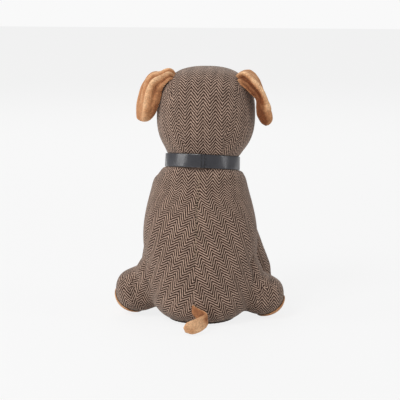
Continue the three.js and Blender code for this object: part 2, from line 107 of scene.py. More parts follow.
scene.world = bpy.data.worlds.new("studio")
sky = shader_tree(scene.world)
path = add(sky, "ShaderNodeLightPath")
room = add(sky, "ShaderNodeBackground", (1, 1, 1, 1), ambient_strength)
seen_room = add(sky, "ShaderNodeBackground", backdrop_colour, 1.0)
either = add(sky, "ShaderNodeMixShader", path.outputs["Is Camera Ray"], room, seen_room)
add(sky, "ShaderNodeOutputWorld", either)


def softbox(name, place, size, power):
    light = bpy.data.lights.new(name, "AREA")
    light.shape = "RECTANGLE"
    light.size, light.size_y = size
    light.energy = power
    made = bpy.data.objects.new(name, light)
    made.location = place
    made.rotation_euler = (Vector((0, 0, 0.12)) - Vector(place)).to_track_quat("-Z", "Y").to_euler()
    scene.collection.objects.link(made)


softbox("key_softbox", (0.9, 1.5, 1.8), (0.8, 0.8), 28)
softbox("left_softbox", (1.7, 0.5, 0.7), (0.5, 1.2), 9)
softbox("right_softbox", (-1.7, 0.4, 0.7), (0.4, 1.2), 6)
softbox("front_softbox", (0.3, -1.6, 1.2), (1.2, 1.0), 10)

camera_azimuth = math.radians(185)
camera_elevation = math.radians(10)
camera_distance = 2.0
pixels_per_mm = 0.905
picture_width = 400
sensor_width = 36
target = Vector((0, 0, 0.1299))
camera_data = bpy.data.cameras.new("camera")
camera_data.sensor_width = sensor_width
camera_data.lens = pixels_per_mm * camera_distance / mm * sensor_width / picture_width
camera = bpy.data.objects.new("camera", camera_data)
backwards = Vector(
    (
        math.sin(camera_azimuth) * math.cos(camera_elevation),
        -math.cos(camera_azimuth) * math.cos(camera_elevation),
        math.sin(camera_elevation),
    )
)
camera.location = target + backwards * camera_distance
camera.rotation_euler = backwards.to_track_quat("Z", "Y").to_euler()
scene.collection.objects.link(camera)
scene.camera = camera

# Body cover: herringbone wool tweed, two back panels, a belly panel and a panel round each hind foot, sewn
# inside out, stuffed tight and closed by hand along the spine.
base_half_width = 51.5 * mm
base_shift = -3 * mm
hip_height = 88 * mm
hip_half_width = 64.5 * mm
hip_shift = -0.6 * mm
shoulder_height = 146 * mm
shoulder_half_width = 54 * mm
shoulder_shift = 0.2 * mm
nape_height = 159 * mm
nape_half_width = 48 * mm
nape_shift = -1 * mm
back_at_base = 65 * mm
back_at_shoulder = 45 * mm
chest_at_base = 52 * mm
chest_at_shoulder = 45 * mm
body_squareness = 2.3
base_rounding = 23 * mm
neck_height = 173 * mm
neck_radius = 38.8 * mm
neck_shift = -2.8 * mm
neck_pitch = math.radians(9.5)
neck_roll = math.radians(2)
collar_width = 14.5 * mm
hip_joint = np.array([36, 12, 46]) * mm
hip_radius = 28 * mm
left_foot = np.array([68.4, -1, 28]) * mm
right_foot = np.array([-69, 1.5, 25.4]) * mm
left_foot_radii = np.array([27, 27, 25.2]) * mm
right_foot_radii = np.array([25.6, 27, 23]) * mm
foot_squareness = 2.3
ankle_inside = 21 * mm
thigh_centre = np.array([43.5, 8, 46]) * mm
thigh_radius = 29 * mm
leg_blend = 6 * mm
body_centre = np.array([0, 0, hip_height * 0.75])
neck_centre = np.array([neck_shift, 0, neck_height])
neck_axis = np.array([-math.tan(neck_roll), -math.tan(neck_pitch), 1])
neck_axis /= np.linalg.norm(neck_axis)


def bend(a, b, c, d, t):
    """A Catmull-Rom curve between b and c"""
    from_b, from_c = (c - a) / 2, (d - b) / 2
    square = 3 * (c - b) - 2 * from_b - from_c
    cube = 2 * (b - c) + from_b + from_c
    return b + from_b * t + square * t**2 + cube * t**3


def size_by_height(stations):
    """A smooth curve of one size against height, through the given stations"""
    points = np.array(stations, float)
    place = np.linspace(0, len(points) - 1, 121)
    first = np.minimum(place.astype(int), len(points) - 2)
    t = (place - first)[:, None]
    a = points[np.maximum(first - 1, 0)]
    b = points[first]
    c = points[first + 1]
    d = points[np.minimum(first + 2, len(points) - 1)]
    curve = bend(a, b, c, d, t)
    return lambda height: np.interp(height, curve[:, 0], curve[:, 1])


def smooth_join(a, b, blend):
    """Two forms joined with a soft valley between them"""
    h = np.maximum(blend - np.abs(a - b), 0) / blend
    return np.minimum(a, b) - h * h * blend / 4


def ball(points, centre, radii, squareness):
    reach = (np.abs((points - centre) / radii) ** squareness).sum(-1) ** (1 / squareness)
    return (reach - 1) * min(radii)


def limb(points, start, start_radius, end, end_radius):
    line = end - start
    along = np.clip(((points - start) @ line) / (line @ line), 0, 1)
    nearest = start + along[..., None] * line
    return np.linalg.norm(points - nearest, axis=-1) - (start_radius + (end_radius - start_radius) * along)


side_heights = (0, hip_height, shoulder_height, nape_height, neck_height)
side_widths = (base_half_width, hip_half_width, shoulder_half_width, nape_half_width, neck_radius)
side_shifts = (base_shift, hip_shift, shoulder_shift, nape_shift, neck_shift)
depth_heights = (0, shoulder_height, neck_height)
half_width_at = size_by_height(list(zip(side_heights, side_widths)))
shift_at = size_by_height(list(zip(side_heights, side_shifts)))
back_at = size_by_height(list(zip(depth_heights, (back_at_base, back_at_shoulder, neck_radius))))
chest_at = size_by_height(list(zip(depth_heights, (chest_at_base, chest_at_shoulder, neck_radius))))


def collar_squeeze(points, strap_side):
    """How far a point is outside the neck as the collar draws it in; strap_side is 1 on the head's side"""
    height = (points - neck_centre) @ neck_axis
    radial = np.linalg.norm(points - neck_centre - height[..., None] * neck_axis, axis=-1)
    beyond = np.maximum(height * strap_side - collar_width / 2 + 0.8 * mm, 0) / mm
    return radial - (neck_radius - 0.4 * mm + 2.6 * mm * beyond**1.1)


def body_form(points):
    x, y, z = points[..., 0], points[..., 1], points[..., 2]
    half_width = half_width_at(z)
    back = back_at(z)
    chest = chest_at(z)
    half_depth = (back + chest) / 2
    across = np.abs(x - shift_at(z)) / half_width
    through = np.abs(y - (back - chest) / 2) / half_depth
    side = ((across**body_squareness + through**body_squareness) ** (1 / body_squareness) - 1) * np.minimum(
        half_width, half_depth
    )
    rounded = np.hypot(np.maximum(side + base_rounding, 0), np.maximum(base_rounding - z, 0))
    torso = np.minimum(np.maximum(side, -z), -base_rounding) + rounded
    for foot, foot_radii in ((left_foot, left_foot_radii), (right_foot, right_foot_radii)):
        mirror = [math.copysign(1, foot[0]), 1, 1]
        thigh = np.linalg.norm(points - thigh_centre * mirror, axis=-1) - thigh_radius
        leg = limb(points, hip_joint * mirror, hip_radius, foot, ankle_inside)
        leg = smooth_join(leg, ball(points, foot, foot_radii, foot_squareness), leg_blend)
        torso = smooth_join(torso, np.minimum(thigh, leg), leg_blend)
    inside_neck = np.maximum(torso, collar_squeeze(points, -1))
    neck_plane = (points - neck_centre) @ neck_axis + 0.2 * mm
    return np.maximum(np.maximum(inside_neck, neck_plane), -z)


ray_length = 220 * mm
halvings = 24


def skin(form, centre, directions, depth=0.0):
    """The points where rays from a centre leave a form, set in by a depth"""
    inside = np.zeros(directions.shape[:-1])
    outside = np.full(directions.shape[:-1], ray_length)
    for _ in range(halvings):
        middle = (inside + outside) / 2
        within = form(centre + directions * middle[..., None]) < -depth
        inside = np.where(within, middle, inside)
        outside = np.where(within, outside, middle)
    return centre + directions * inside[..., None]


def unit(vectors):
    return vectors / np.linalg.norm(vectors, axis=-1, keepdims=True)


def closed_grid(points, first_pole, last_pole):
    """Vertices and faces of rows of points that close round, with a pole before and after them"""
    rows, columns = points.shape[:2]
    vertices = np.concatenate([points.reshape(-1, 3), [first_pole], [last_pole]])
    faces = []
    for i in range(rows - 1):
        for j in range(columns):
            k = (j + 1) % columns
            faces.append((i * columns + j, (i + 1) * columns + j, (i + 1) * columns + k, i * columns + k))
    for j in range(columns):
        k = (j + 1) % columns
        faces.append((rows * columns, j, k))
        faces.append((rows * columns + 1, (rows - 1) * columns + k, (rows - 1) * columns + j))
    return vertices, faces


def mesh_object(name, vertices, faces):
    mesh = bpy.data.meshes.new(name)
    mesh.from_pydata([tuple(v) for v in vertices], [], faces)
    mesh.update()
    made = bpy.data.objects.new(name, mesh)
    scene.collection.objects.link(made)
    return made


def places_of(mesh):
    flat = np.empty(len(mesh.vertices) * 3, np.float64)
    mesh.vertices.foreach_get("co", flat)
    return flat.reshape(-1, 3)


def set_places(mesh, places):
    mesh.vertices.foreach_set("co", np.ascontiguousarray(places, np.float64).ravel())
    mesh.update()


def normals_of(mesh):
    flat = np.empty(len(mesh.vertices) * 3, np.float32)
    mesh.vertices.foreach_get("normal", flat)
    return flat.reshape(-1, 3).astype(float)


def mark_seams(mesh, pairs):
    """Marks the edges between the given pairs of vertices as seams"""
    wanted = {frozenset(pair) for pair in pairs}
    for edge in mesh.edges:
        edge.use_seam = frozenset(edge.vertices) in wanted


def stuffed(piece, sewn, pressure, cap, frames=20):
    """Swells a cover by a cloth simulation: the sewn vertices stay, and no point moves more than the cap"""
    group = piece.vertex_groups.new(name="sewn")
    group.add([int(i) for i in sewn], 1.0, "REPLACE")
    cloth = piece.modifiers.new("stuffing", "CLOTH")
    cloth.settings.vertex_group_mass = "sewn"
    cloth.settings.use_pressure = True
    cloth.settings.uniform_pressure_force = pressure
    cloth.settings.effector_weights.gravity = 0
    cloth.settings.quality = 6
    cloth.settings.tension_stiffness = 20
    cloth.settings.compression_stiffness = 20
    cloth.settings.bending_stiffness = 0.3
    cloth.collision_settings.use_collision = False
    cloth.point_cache.frame_start = 1
    cloth.point_cache.frame_end = frames
    scene.frame_start, scene.frame_end = 1, frames
    for step in range(1, frames + 1):
        scene.frame_set(step)
    swollen = piece.evaluated_get(bpy.context.evaluated_depsgraph_get())
    moved = places_of(swollen.data)
    piece.modifiers.remove(cloth)
    piece.vertex_groups.clear()
    scene.frame_set(1)
    start = places_of(piece.data)
    travel = moved - start
    far = np.linalg.norm(travel, axis=1, keepdims=True)
    travel *= np.minimum(1, cap / np.maximum(far, 1e-9))
    set_places(piece.data, start + travel)


def finer(piece, levels):
    """One or more Catmull-Clark subdivisions, made part of the mesh"""
    smooth = piece.modifiers.new("finer", "SUBSURF")
    smooth.levels = smooth.render_levels = levels
    result = bpy.data.meshes.new_from_object(piece.evaluated_get(bpy.context.evaluated_depsgraph_get()))
    piece.modifiers.remove(smooth)
    old = piece.data
    piece.data = result
    bpy.data.meshes.remove(old)
    result.name = piece.name
    result.polygons.foreach_set("use_smooth", np.ones(len(result.polygons), bool))


def unwrapped(piece):
    """Cuts the cover open at its seams and lays the panels flat, as its pattern pieces"""
    bpy.ops.object.select_all(action="DESELECT")
    piece.select_set(True)
    bpy.context.view_layer.objects.active = piece
    if not piece.data.uv_layers:
        piece.data.uv_layers.new(name="cloth")
    bpy.ops.object.mode_set(mode="EDIT")
    bpy.ops.mesh.select_all(action="SELECT")
    bpy.ops.uv.unwrap(method="MINIMUM_STRETCH", iterations=15, margin=0.001)
    bpy.ops.object.mode_set(mode="OBJECT")


def smooth_step(value, low, high):
    t = np.clip((value - low) / (high - low), 0, 1)
    return t * t * (3 - 2 * t)


column_width = 6.7 * mm
panel_spacing = 80  # columns, with every other panel one column further, so that the zigzags don't run on


def turned_flat(points, angle):
    """Flat points turned about the origin, by one angle or by one for each"""
    x, y = points[:, 0], points[:, 1]
    return np.stack([x * np.cos(angle) - y * np.sin(angle), x * np.sin(angle) + y * np.cos(angle)], -1)


def lay_grain(piece, panels, upright=None):
    """Brings each flat panel to true size and turns it so that the cloth's warp runs along V.
    A panel is (faces, start vertex, end vertex, angle): the line between the two vertices stands at the
    angle from the warp, in degrees, anticlockwise. The angle dies away between the two upright lengths."""
    mesh = piece.data
    uv = np.empty(len(mesh.loops) * 2, np.float32)
    mesh.uv_layers.active.data.foreach_get("uv", uv)
    uv = uv.reshape(-1, 2).astype(float)
    loop_vertex = np.empty(len(mesh.loops), np.int32)
    mesh.loops.foreach_get("vertex_index", loop_vertex)
    starts = np.array([p.loop_start for p in mesh.polygons])
    totals = np.array([p.loop_total for p in mesh.polygons])
    places = places_of(mesh)
    for number, (faces, start, end, angle) in enumerate(panels):
        corners = [np.arange(starts[f], starts[f] + totals[f]) for f in faces]
        loops = np.concatenate(corners)
        following = np.concatenate([np.roll(own, -1) for own in corners])
        real = np.linalg.norm(places[loop_vertex[loops]] - places[loop_vertex[following]], axis=1).sum()
        flat = np.linalg.norm(uv[loops] - uv[following], axis=1).sum()
        a = uv[loops[loop_vertex[loops] == start][0]]
        b = uv[loops[loop_vertex[loops] == end][0]]
        turn = math.radians(90) - math.atan2(b[1] - a[1], b[0] - a[0])
        laid = turned_flat(uv[loops] - a, turn) * (real / flat)
        lean = math.radians(angle)
        if upright:
            lean = lean * (1 - smooth_step(laid[:, 1], *upright))
            laid = laid - [0, sum(upright) / 2]
        uv[loops] = turned_flat(laid, lean) + [(number * panel_spacing + 40 + number % 2) * column_width, 0.25]
    mesh.uv_layers.active.data.foreach_set("uv", uv.astype(np.float32).ravel())


def through(rows, places):
    """A Catmull-Rom curve through rows of numbers, at places from 0 to 1"""
    rows = np.array(rows, float)
    place = np.array(places) * (len(rows) - 1)
    first = np.clip(place.astype(int), 0, len(rows) - 2)
    t = (place - first)[:, None]
    b = rows[first]
    c = rows[first + 1]
    a = np.where((first > 0)[:, None], rows[np.maximum(first - 1, 0)], 2 * b - c)
    d = np.where((first < len(rows) - 2)[:, None], rows[np.minimum(first + 2, len(rows) - 1)], 2 * c - b)
    return bend(a, b, c, d, t)


def tree_of(line):
    """A search tree over a line of points, drawn fine"""
    fine = []
    for a, b in zip(line[:-1], line[1:]):
        steps = max(1, int(np.linalg.norm(b - a) / (0.4 * mm)))
        fine += [a + (b - a) * k / steps for k in range(steps)]
    fine.append(line[-1])
    lengths = np.concatenate([[0], np.cumsum(np.linalg.norm(np.diff(fine, axis=0), axis=1))])
    found = KDTree(len(fine))
    for i, point in enumerate(fine):
        found.insert(point, i)
    found.balance()
    return found, lengths


def near_line(places, line):
    """For each place, its distance from a line and how far along the line it lies"""
    found, lengths = tree_of(line)
    distance = np.empty(len(places))
    along = np.empty(len(places))
    for i, place in enumerate(places):
        _, index, far = found.find(place)
        distance[i] = far
        along[i] = lengths[index]
    return distance, along


def note(piece, name, values):
    """Keeps one number for each point of a piece, which its material reads"""
    noted = piece.data.attributes.new(name, "FLOAT", "POINT")
    noted.data.foreach_set("value", np.asarray(values, np.float32).ravel())


def sink_seams(piece, lines, reach, deep, pucker, stitch, dark, relief=0, shade=0):
    """Sinks a cover along its seams, puckers it at each stitch and notes the painted shade of each seam's
    groove and cut edges at each point. Relief and shade are further heights and painted shade, one for each
    point."""
    mesh = piece.data
    spots = places_of(mesh)
    outward = normals_of(mesh)
    sunk = np.zeros(len(spots))
    seam_groove_shade = np.zeros(len(spots))
    for line in lines:
        distance, along = near_line(spots, line)
        sunk += deep * np.exp(-((distance / reach) ** 2))
        drawn_in = np.cos(along / stitch * 2 * math.pi) * np.exp(-distance / (2.4 * reach))
        sunk -= pucker * drawn_in * (distance > 0)
        # Painted shade in each seam's groove and on its cut edges
        seam_groove_shade = np.maximum(seam_groove_shade, dark * np.exp(-((distance / (0.45 * reach)) ** 2)))
    off_floor = np.clip(spots[:, 2] / (3 * mm), 0, 1)
    set_places(mesh, spots - outward * ((sunk - relief) * off_floor)[:, None])
    note(piece, "seam", np.maximum(seam_groove_shade, shade))


rough_columns = 144
rough_rows = 84


def body_directions(columns, rows):
    """Directions from the body's centre: from the neck ring down to the base, closer near the spine"""
    even = np.linspace(0, 1, columns, endpoint=False)
    dense = np.linspace(0, 1, 2000)
    density = 1 + 1.6 * np.exp(-(((dense - 0.5) * 360 / 9) ** 2))
    spread = np.cumsum(density)
    azimuths = np.interp(even * spread[-1], spread, dense) * 2 * math.pi - math.pi / 2
    across = np.cos(azimuths)
    through = np.sin(azimuths)
    neck = neck_centre + neck_radius * 0.82 * np.stack([across, through, across * 0], -1)
    base = np.stack([across * 30 * mm, 6 * mm + through * 38 * mm, across * 0], -1)
    from_top = unit(neck - body_centre)
    to_base = unit(base - body_centre)
    level = unit(np.stack([across, through, across * 0], -1))
    top_angle = np.arccos((from_top * level).sum(-1))
    base_angle = -np.arccos((to_base * level).sum(-1))
    share = np.linspace(0, 1, rows)
    angle = top_angle[None, :] * (1 - share[:, None]) + base_angle[None, :] * share[:, None]
    return np.cos(angle)[..., None] * level + np.sin(angle)[..., None] * np.array([0, 0, 1.0])


def evened(directions, form, centre, closer=1.0):
    """The same directions with their rows shared out evenly along the form, or closer at its start"""
    points = skin(form, centre, directions)
    step = np.linalg.norm(np.diff(points, axis=0), axis=-1).mean(1)
    length = np.concatenate([[0], np.cumsum(step)])
    wanted = length[-1] * np.linspace(0, 1, len(length)) ** closer
    place = np.interp(wanted, length, np.arange(len(length)))
    low = np.minimum(place.astype(int), len(length) - 2)
    share = (place - low)[:, None, None]
    return unit(directions[low] * (1 - share) + directions[low + 1] * share)


def ring_edges(index, row, columns):
    """Pairs of vertices along a grid's row"""
    return [(index(row, column), index(row, column + 1)) for column in columns]


def line_edges(index, column, rows):
    """Pairs of vertices along a grid's column"""
    return [(index(row, column), index(row + 1, column)) for row in rows]


# The hand seam's sway sideways by height; the spine column follows it
sway_at = size_by_height(
    [
        (0, 1.0 * mm),
        (60 * mm, 0.6 * mm),
        (110 * mm, -0.6 * mm),
        (150 * mm, -1.8 * mm),
        (164 * mm, -4.5 * mm),
        (180 * mm, -6.8 * mm),
    ]
)
back_column = rough_columns // 2
directions = evened(body_directions(rough_columns, rough_rows), body_form, body_centre, 1.2)
start_points = skin(body_form, body_centre, directions)
from_axis = np.maximum(np.linalg.norm(start_points[..., :2], axis=-1), 5 * mm)
offset_angle = np.abs(np.arctan2(directions[..., 0], directions[..., 1]))
turn = sway_at(start_points[..., 2]) / from_axis * np.exp(-((offset_angle / 0.5) ** 2))
turned = directions.copy()
turned[..., 0] = directions[..., 0] * np.cos(turn) + directions[..., 1] * np.sin(turn)
turned[..., 1] = directions[..., 1] * np.cos(turn) - directions[..., 0] * np.sin(turn)
body_inset = 1.0 * mm
body_points = skin(body_form, body_centre, turned, body_inset)
neck_pole = neck_centre - neck_axis * body_inset
base_pole = np.array([0, 6 * mm, body_inset])
body_cover = mesh_object("tweed_body", *closed_grid(body_points, neck_pole, base_pole))

spine_heights = (skin(body_form, body_centre, turned)[:, back_column] - neck_centre) @ neck_axis
neck_row = int(np.argmax(spine_heights < -collar_width / 2))
base_row = rough_rows - 1 - int(np.argmax(body_points[::-1, back_column, 2] > 4 * mm))
front_left = int(rough_columns * 0.15)
front_right = rough_columns - front_left


def grid_index(row, column):
    return row * rough_columns + column % rough_columns


# Each hind foot is a panel of its own, from the crease at the thigh to the opening that its sole closes
sole_radius = 20 * mm
left_sole_axis = unit(np.array([0.62, -0.25, -0.74]))
right_sole_axis = unit(np.array([-0.55, -0.2, -0.81]))
next_points = np.roll(body_points, -1, axis=1)
face_middle = (body_points[:-1] + body_points[1:] + next_points[:-1] + next_points[1:]) / 4
crease_inside = 9 * mm
foot_reach = 42 * mm
panel_number = np.zeros(face_middle.shape[:2], int)
for number, (foot, axis) in enumerate(((left_foot, left_sole_axis), (right_foot, right_sole_axis)), start=1):
    from_foot = face_middle - foot
    leg_axis = unit(foot - hip_joint * [math.copysign(1, foot[0]), 1, 1])
    on_foot = (from_foot @ leg_axis > -crease_inside) & (np.linalg.norm(from_foot, axis=-1) < foot_reach)
    panel_number[on_foot] = number
    aslant = np.linalg.norm(np.cross(from_foot, axis), axis=-1)
    panel_number[(aslant < sole_radius) & (from_foot @ axis > 0)] = 3
# A foot's panel is closed into a tube by a seam down its front
level_angle = np.degrees(np.arctan2(turned[rough_rows // 2, :, 1], turned[rough_rows // 2, :, 0]))
slit_columns = [int(np.argmin(np.abs(level_angle - angle))) for angle in (-14, -166)]

seam_columns = (back_column, front_left, front_right)
neck_end = rough_rows * rough_columns
base_end = neck_end + 1
seam_pairs = []
for column in seam_columns:
    seam_pairs += line_edges(grid_index, column, range(rough_rows - 1))
    seam_pairs += [(grid_index(0, column), neck_end), (grid_index(rough_rows - 1, column), base_end)]
for row in (neck_row, base_row):
    seam_pairs += ring_edges(grid_index, row, range(rough_columns))
for row in range(1, rough_rows - 1):
    for column in range(rough_columns):
        here = panel_number[row, column]
        if here != panel_number[row - 1, column]:
            seam_pairs += ring_edges(grid_index, row, [column])
        if here != panel_number[row, column - 1] or (column in slit_columns and here in (1, 2)):
            seam_pairs += line_edges(grid_index, column, [row])
mark_seams(body_cover.data, seam_pairs)
stuffing_pressure = 4.0
stuffing_swell = 1.8 * mm
inside_rows = [*range(neck_row), *range(base_row, rough_rows)]
sewn = {grid_index(row, column) for row in range(rough_rows) for column in seam_columns}
sewn |= {grid_index(row, column) for row in inside_rows for column in range(rough_columns)}
stuffed(body_cover, sewn | {neck_end, base_end}, stuffing_pressure, stuffing_swell)
unwrapped(body_cover)


def panel_faces(first_column, last_column):
    return [
        row * rough_columns + column % rough_columns
        for row in range(neck_row, base_row)
        for column in range(first_column, last_column)
        if panel_number[row, column % rough_columns] == 0
    ]


def foot_panel(number, foot):
    """A foot's faces, and two of its vertices one above the other on its back"""
    rows, columns = np.nonzero(panel_number == number)
    own = rows * rough_columns + columns
    near = [foot + np.array([0, 24, -8]) * mm, foot + np.array([0, 22, 12]) * mm]
    ends = [int(own[np.argmin(np.linalg.norm(body_points[rows, columns] - spot, axis=1))]) for spot in near]
    return list(own), *ends, 0


grain_lean = 29
grain_upright = (104 * mm, 150 * mm)
spine_ends = (grid_index(base_row - 4, back_column), grid_index(neck_row + 3, back_column))
belly_ends = (grid_index(base_row, 0), grid_index(neck_row, 0))
body_panels = [
    (panel_faces(back_column, front_right), *spine_ends, -grain_lean),
    (panel_faces(front_left, back_column), *spine_ends, grain_lean),
    (panel_faces(front_right, rough_columns + front_left), *belly_ends, 0),
    foot_panel(1, left_foot),
    foot_panel(2, right_foot),
]
lay_grain(body_cover, body_panels, grain_upright)
rough_body = places_of(body_cover.data)
spine_line, *front_lines = (
    rough_body[[grid_index(row, column) for row in range(neck_row, base_row + 1)]] for column in seam_columns
)
finer(body_cover, 1)

# Along the hand-closed stretch of the spine the stitches pull the cloth into small lumps with gaps between
seam_reach = 1.7 * mm
seam_depth = 0.5 * mm
seam_pucker = 0.16 * mm
# How dark the painted shade in the body's seams is
seam_shade_strength = 0.12
stitch_length = 4.6 * mm
closing_from = 12 * mm
closing_to = 100 * mm
lump_spacing = 3.1 * mm
lump_share = 0.8
gap_share = 1.2
lump_count = 80
lumps = np.random.default_rng(11)
lump_height = lumps.uniform(-1, 1, lump_count)
gap_depth = lumps.uniform(0.3, 1, lump_count) ** 2
places = places_of(body_cover.data)
distance, along = near_line(places, spine_line)
closing = np.clip((along - closing_from) / (6 * mm), 0, 1) * np.clip((closing_to - along) / (14 * mm), 0, 1)
beside = np.where(places[:, 0] > np.interp(-places[:, 2], -spine_line[:, 2], spine_line[:, 0]), 0.0, 0.5)
lump = np.interp(along / lump_spacing + beside * 5, np.arange(lump_count), lump_height)
gap = np.interp(along / lump_spacing, np.arange(lump_count), gap_depth)
# Painted shade in the gaps, where the stitches pull the closing open
gap_shade = np.clip(closing * (gap - 0.3) * np.exp(-((distance / (0.9 * mm)) ** 2)) * 1.3, 0, 1)
lump_ring = np.exp(-(((distance - 1.7 * mm) / (1.1 * mm)) ** 2))
gap_line = np.exp(-((distance / (0.8 * mm)) ** 2))
closing_relief = closing * mm * (lump_share * lump * lump_ring - gap_share * gap * gap_line)
# Folds where the stuffed hind legs and the shoulders pull at the cover, as (from the foot, depth)
fold_reach = 2.6 * mm
folds = [
    (left_foot, [(2, -1, 25), (4, 11, 21), (4.3, 17, 16), (2.5, 22, 9), (-0.4, 25, 0)], 1.8 * mm),
    (right_foot, [(-2, -1, 25), (-4, 11, 21), (-4.3, 17, 16), (-2.5, 22, 9), (0.4, 25, 0)], 1.2 * mm),
    (right_foot, [(14, 22, 40), (12, 24, 32), (10, 26, 22)], 2.4 * mm),
    (right_foot, [(9, 20, 46), (14, 22, 40), (17, 18, 33)], 2.0 * mm),
    (left_foot, [(-10, 24, 42), (-14, 30, 26), (-17, 34, 8)], 1.4 * mm),
]
fold_shade = np.zeros(len(places))
for foot, line, deep in folds:
    spots = [skin(body_form, body_centre, unit(foot + np.array(spot) * mm - body_centre)) for spot in line]
    far, _ = near_line(places, through(spots, np.linspace(0, 1, 24)))
    closing_relief -= deep * np.exp(-((far / fold_reach) ** 2))
    fold_shade = np.maximum(fold_shade, deep / (3 * mm) * np.exp(-((far / (0.6 * fold_reach)) ** 2)))
body_seams = (seam_reach, seam_depth, seam_pucker, stitch_length, seam_shade_strength)
body_shade = np.maximum(gap_shade, fold_shade)
sink_seams(body_cover, [spine_line, *front_lines], *body_seams, closing_relief, body_shade)


def herringbone_tweed(name):
    """Wool tweed, woven in herringbone from a dark brown warp and a pale weft, milled a little, so matt and
    slightly hairy. The pattern follows the cloth's own flat map; noise has so many grains per millimetre."""
    made = bpy.data.materials.new(name)
    tree = shader_tree(made)
    stroke_pitch = 3.86 * mm
    strokes_across = 2.3
    cloth = add(tree, "ShaderNodeUVMap", uv_map="cloth")
    warp = add(tree, "ShaderNodeSeparateXYZ", cloth)
    wobble = add(tree, "ShaderNodeTexNoise", Vector=cloth, Scale=0.26 / mm, Detail=2.0)
    wave = add(tree, "ShaderNodeMath", wobble, 0.6, -0.3, operation="MULTIPLY_ADD")
    columns = add(tree, "ShaderNodeMath", warp.outputs[0], column_width, operation="DIVIDE")
    zigzag = add(tree, "ShaderNodeMath", columns, 1.0, operation="PINGPONG")
    column = add(tree, "ShaderNodeMath", columns, operation="FLOOR")
    side = add(tree, "ShaderNodeMath", column, 0.12, operation="MULTIPLY")
    rows = add(tree, "ShaderNodeMath", warp.outputs[1], stroke_pitch, operation="DIVIDE")
    slanted = add(tree, "ShaderNodeMath", zigzag, strokes_across, rows, operation="MULTIPLY_ADD")
    shifted = add(tree, "ShaderNodeMath", slanted, side, operation="ADD")
    phase = add(tree, "ShaderNodeMath", shifted, wave, operation="ADD")
    turns = add(tree, "ShaderNodeMath", phase, 2 * math.pi, operation="MULTIPLY")
    stripe = add(tree, "ShaderNodeMath", turns, operation="SINE")
    stroke = {"From_Min": -0.35, "From_Max": 0.65}
    sharp = add(tree, "ShaderNodeMapRange", stripe, **stroke, interpolation_type="SMOOTHSTEP")
    hairs = add(tree, "ShaderNodeTexNoise", Vector=cloth, Scale=0.75 / mm, Detail=2.0)
    flecks = add(tree, "ShaderNodeMapRange", hairs, From_Min=0.34, From_Max=0.66)
    dark = add(tree, "ShaderNodeMix", flecks, linear("#170A05"), linear("#38221A"), data_type="RGBA")
    pale = add(tree, "ShaderNodeMix", flecks, linear("#92796A"), linear("#C0A593"), data_type="RGBA")
    mixed = add(tree, "ShaderNodeMix", sharp, dark, pale, data_type="RGBA")
    mottle = add(tree, "ShaderNodeTexNoise", Vector=cloth, Scale=0.055 / mm, Detail=3.0)
    shade = add(tree, "ShaderNodeMapRange", mottle, From_Min=0.3, From_Max=0.7, To_Min=0.86, To_Max=1.1)
    # Painted shade: darker in the sunk seams and their cut edges, in the gaps of the spine's hand closing and
    # in the creases of the folds
    seam = add(tree, "ShaderNodeAttribute", attribute_name="seam")
    in_seam = add(tree, "ShaderNodeMath", seam.outputs["Fac"], -0.7, 1.0, operation="MULTIPLY_ADD")
    # Painted sheen: every other column a little lighter and the next a little darker, as the slant of the
    # twill catches the light
    way = add(tree, "ShaderNodeMath", column, 2.0, operation="MODULO")
    painted_twill_sheen = add(tree, "ShaderNodeMath", way, -0.14, 1.07, operation="MULTIPLY_ADD")
    seamed = add(tree, "ShaderNodeMath", shade, in_seam, operation="MULTIPLY")
    tone = add(tree, "ShaderNodeMath", seamed, painted_twill_sheen, operation="MULTIPLY")
    toned = add(tree, "ShaderNodeVectorMath", mixed, operation="SCALE", Scale=tone)
    relief = add(tree, "ShaderNodeMath", flecks, 0.5, sharp, operation="MULTIPLY_ADD")
    bump = add(tree, "ShaderNodeBump", Strength=0.5, Distance=0.35 * mm, Height=relief)
    matt = {"Roughness": 0.95, "Specular_IOR_Level": 0.2}
    hairy = {"Sheen_Weight": 0.35, "Sheen_Roughness": 0.45, "Sheen_Tint": linear("#D8CFC6")}
    shader = add(tree, "ShaderNodeBsdfPrincipled", Base_Color=toned, Normal=bump, **matt, **hairy)
    add(tree, "ShaderNodeOutputMaterial", shader)
    return made


tweed = herringbone_tweed("wool_tweed")
body_cover.data.materials.append(tweed)
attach(body_cover, "root")
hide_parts("body_cover", "body_filling")

# Head cover: the same tweed, a middle strip from the nose over the crown to the neck between two side
# panels, with a dart that takes in the strip above the collar; stuffed tight.
head_centre = np.array([-6, -9, 225]) * mm
head_radii = np.array([54.8, 55, 53]) * mm
head_squareness = 2.55
neck_blend = 9 * mm
muzzle_centre = head_centre + np.array([0, -49, -17]) * mm
muzzle_radii = np.array([27, 27, 20]) * mm
muzzle_blend = 13 * mm
strip_centre = -7.3 * mm
head_columns = 144
side_rows = 26
strip_rows = 28


def head_form(points):
    skull = ball(points, head_centre, head_radii, head_squareness)
    neck = limb(points, head_centre, neck_radius, neck_centre - neck_axis * collar_width, neck_radius)
    muzzle = ball(points, muzzle_centre, muzzle_radii, 2)
    whole = smooth_join(smooth_join(skull, neck, neck_blend), muzzle, muzzle_blend)
    above_neck = 0.2 * mm - (points - neck_centre) @ neck_axis
    return np.maximum(np.maximum(whole, collar_squeeze(points, 1)), above_neck)


def around_x(latitude, longitude):
    """Directions by latitude towards the dog's left and longitude from the back over the crown"""
    return np.stack(
        [np.sin(latitude), np.cos(latitude) * np.cos(longitude), np.cos(latitude) * np.sin(longitude)], -1
    )


longitudes = np.linspace(0, 2 * math.pi, head_columns, endpoint=False) - math.radians(30)
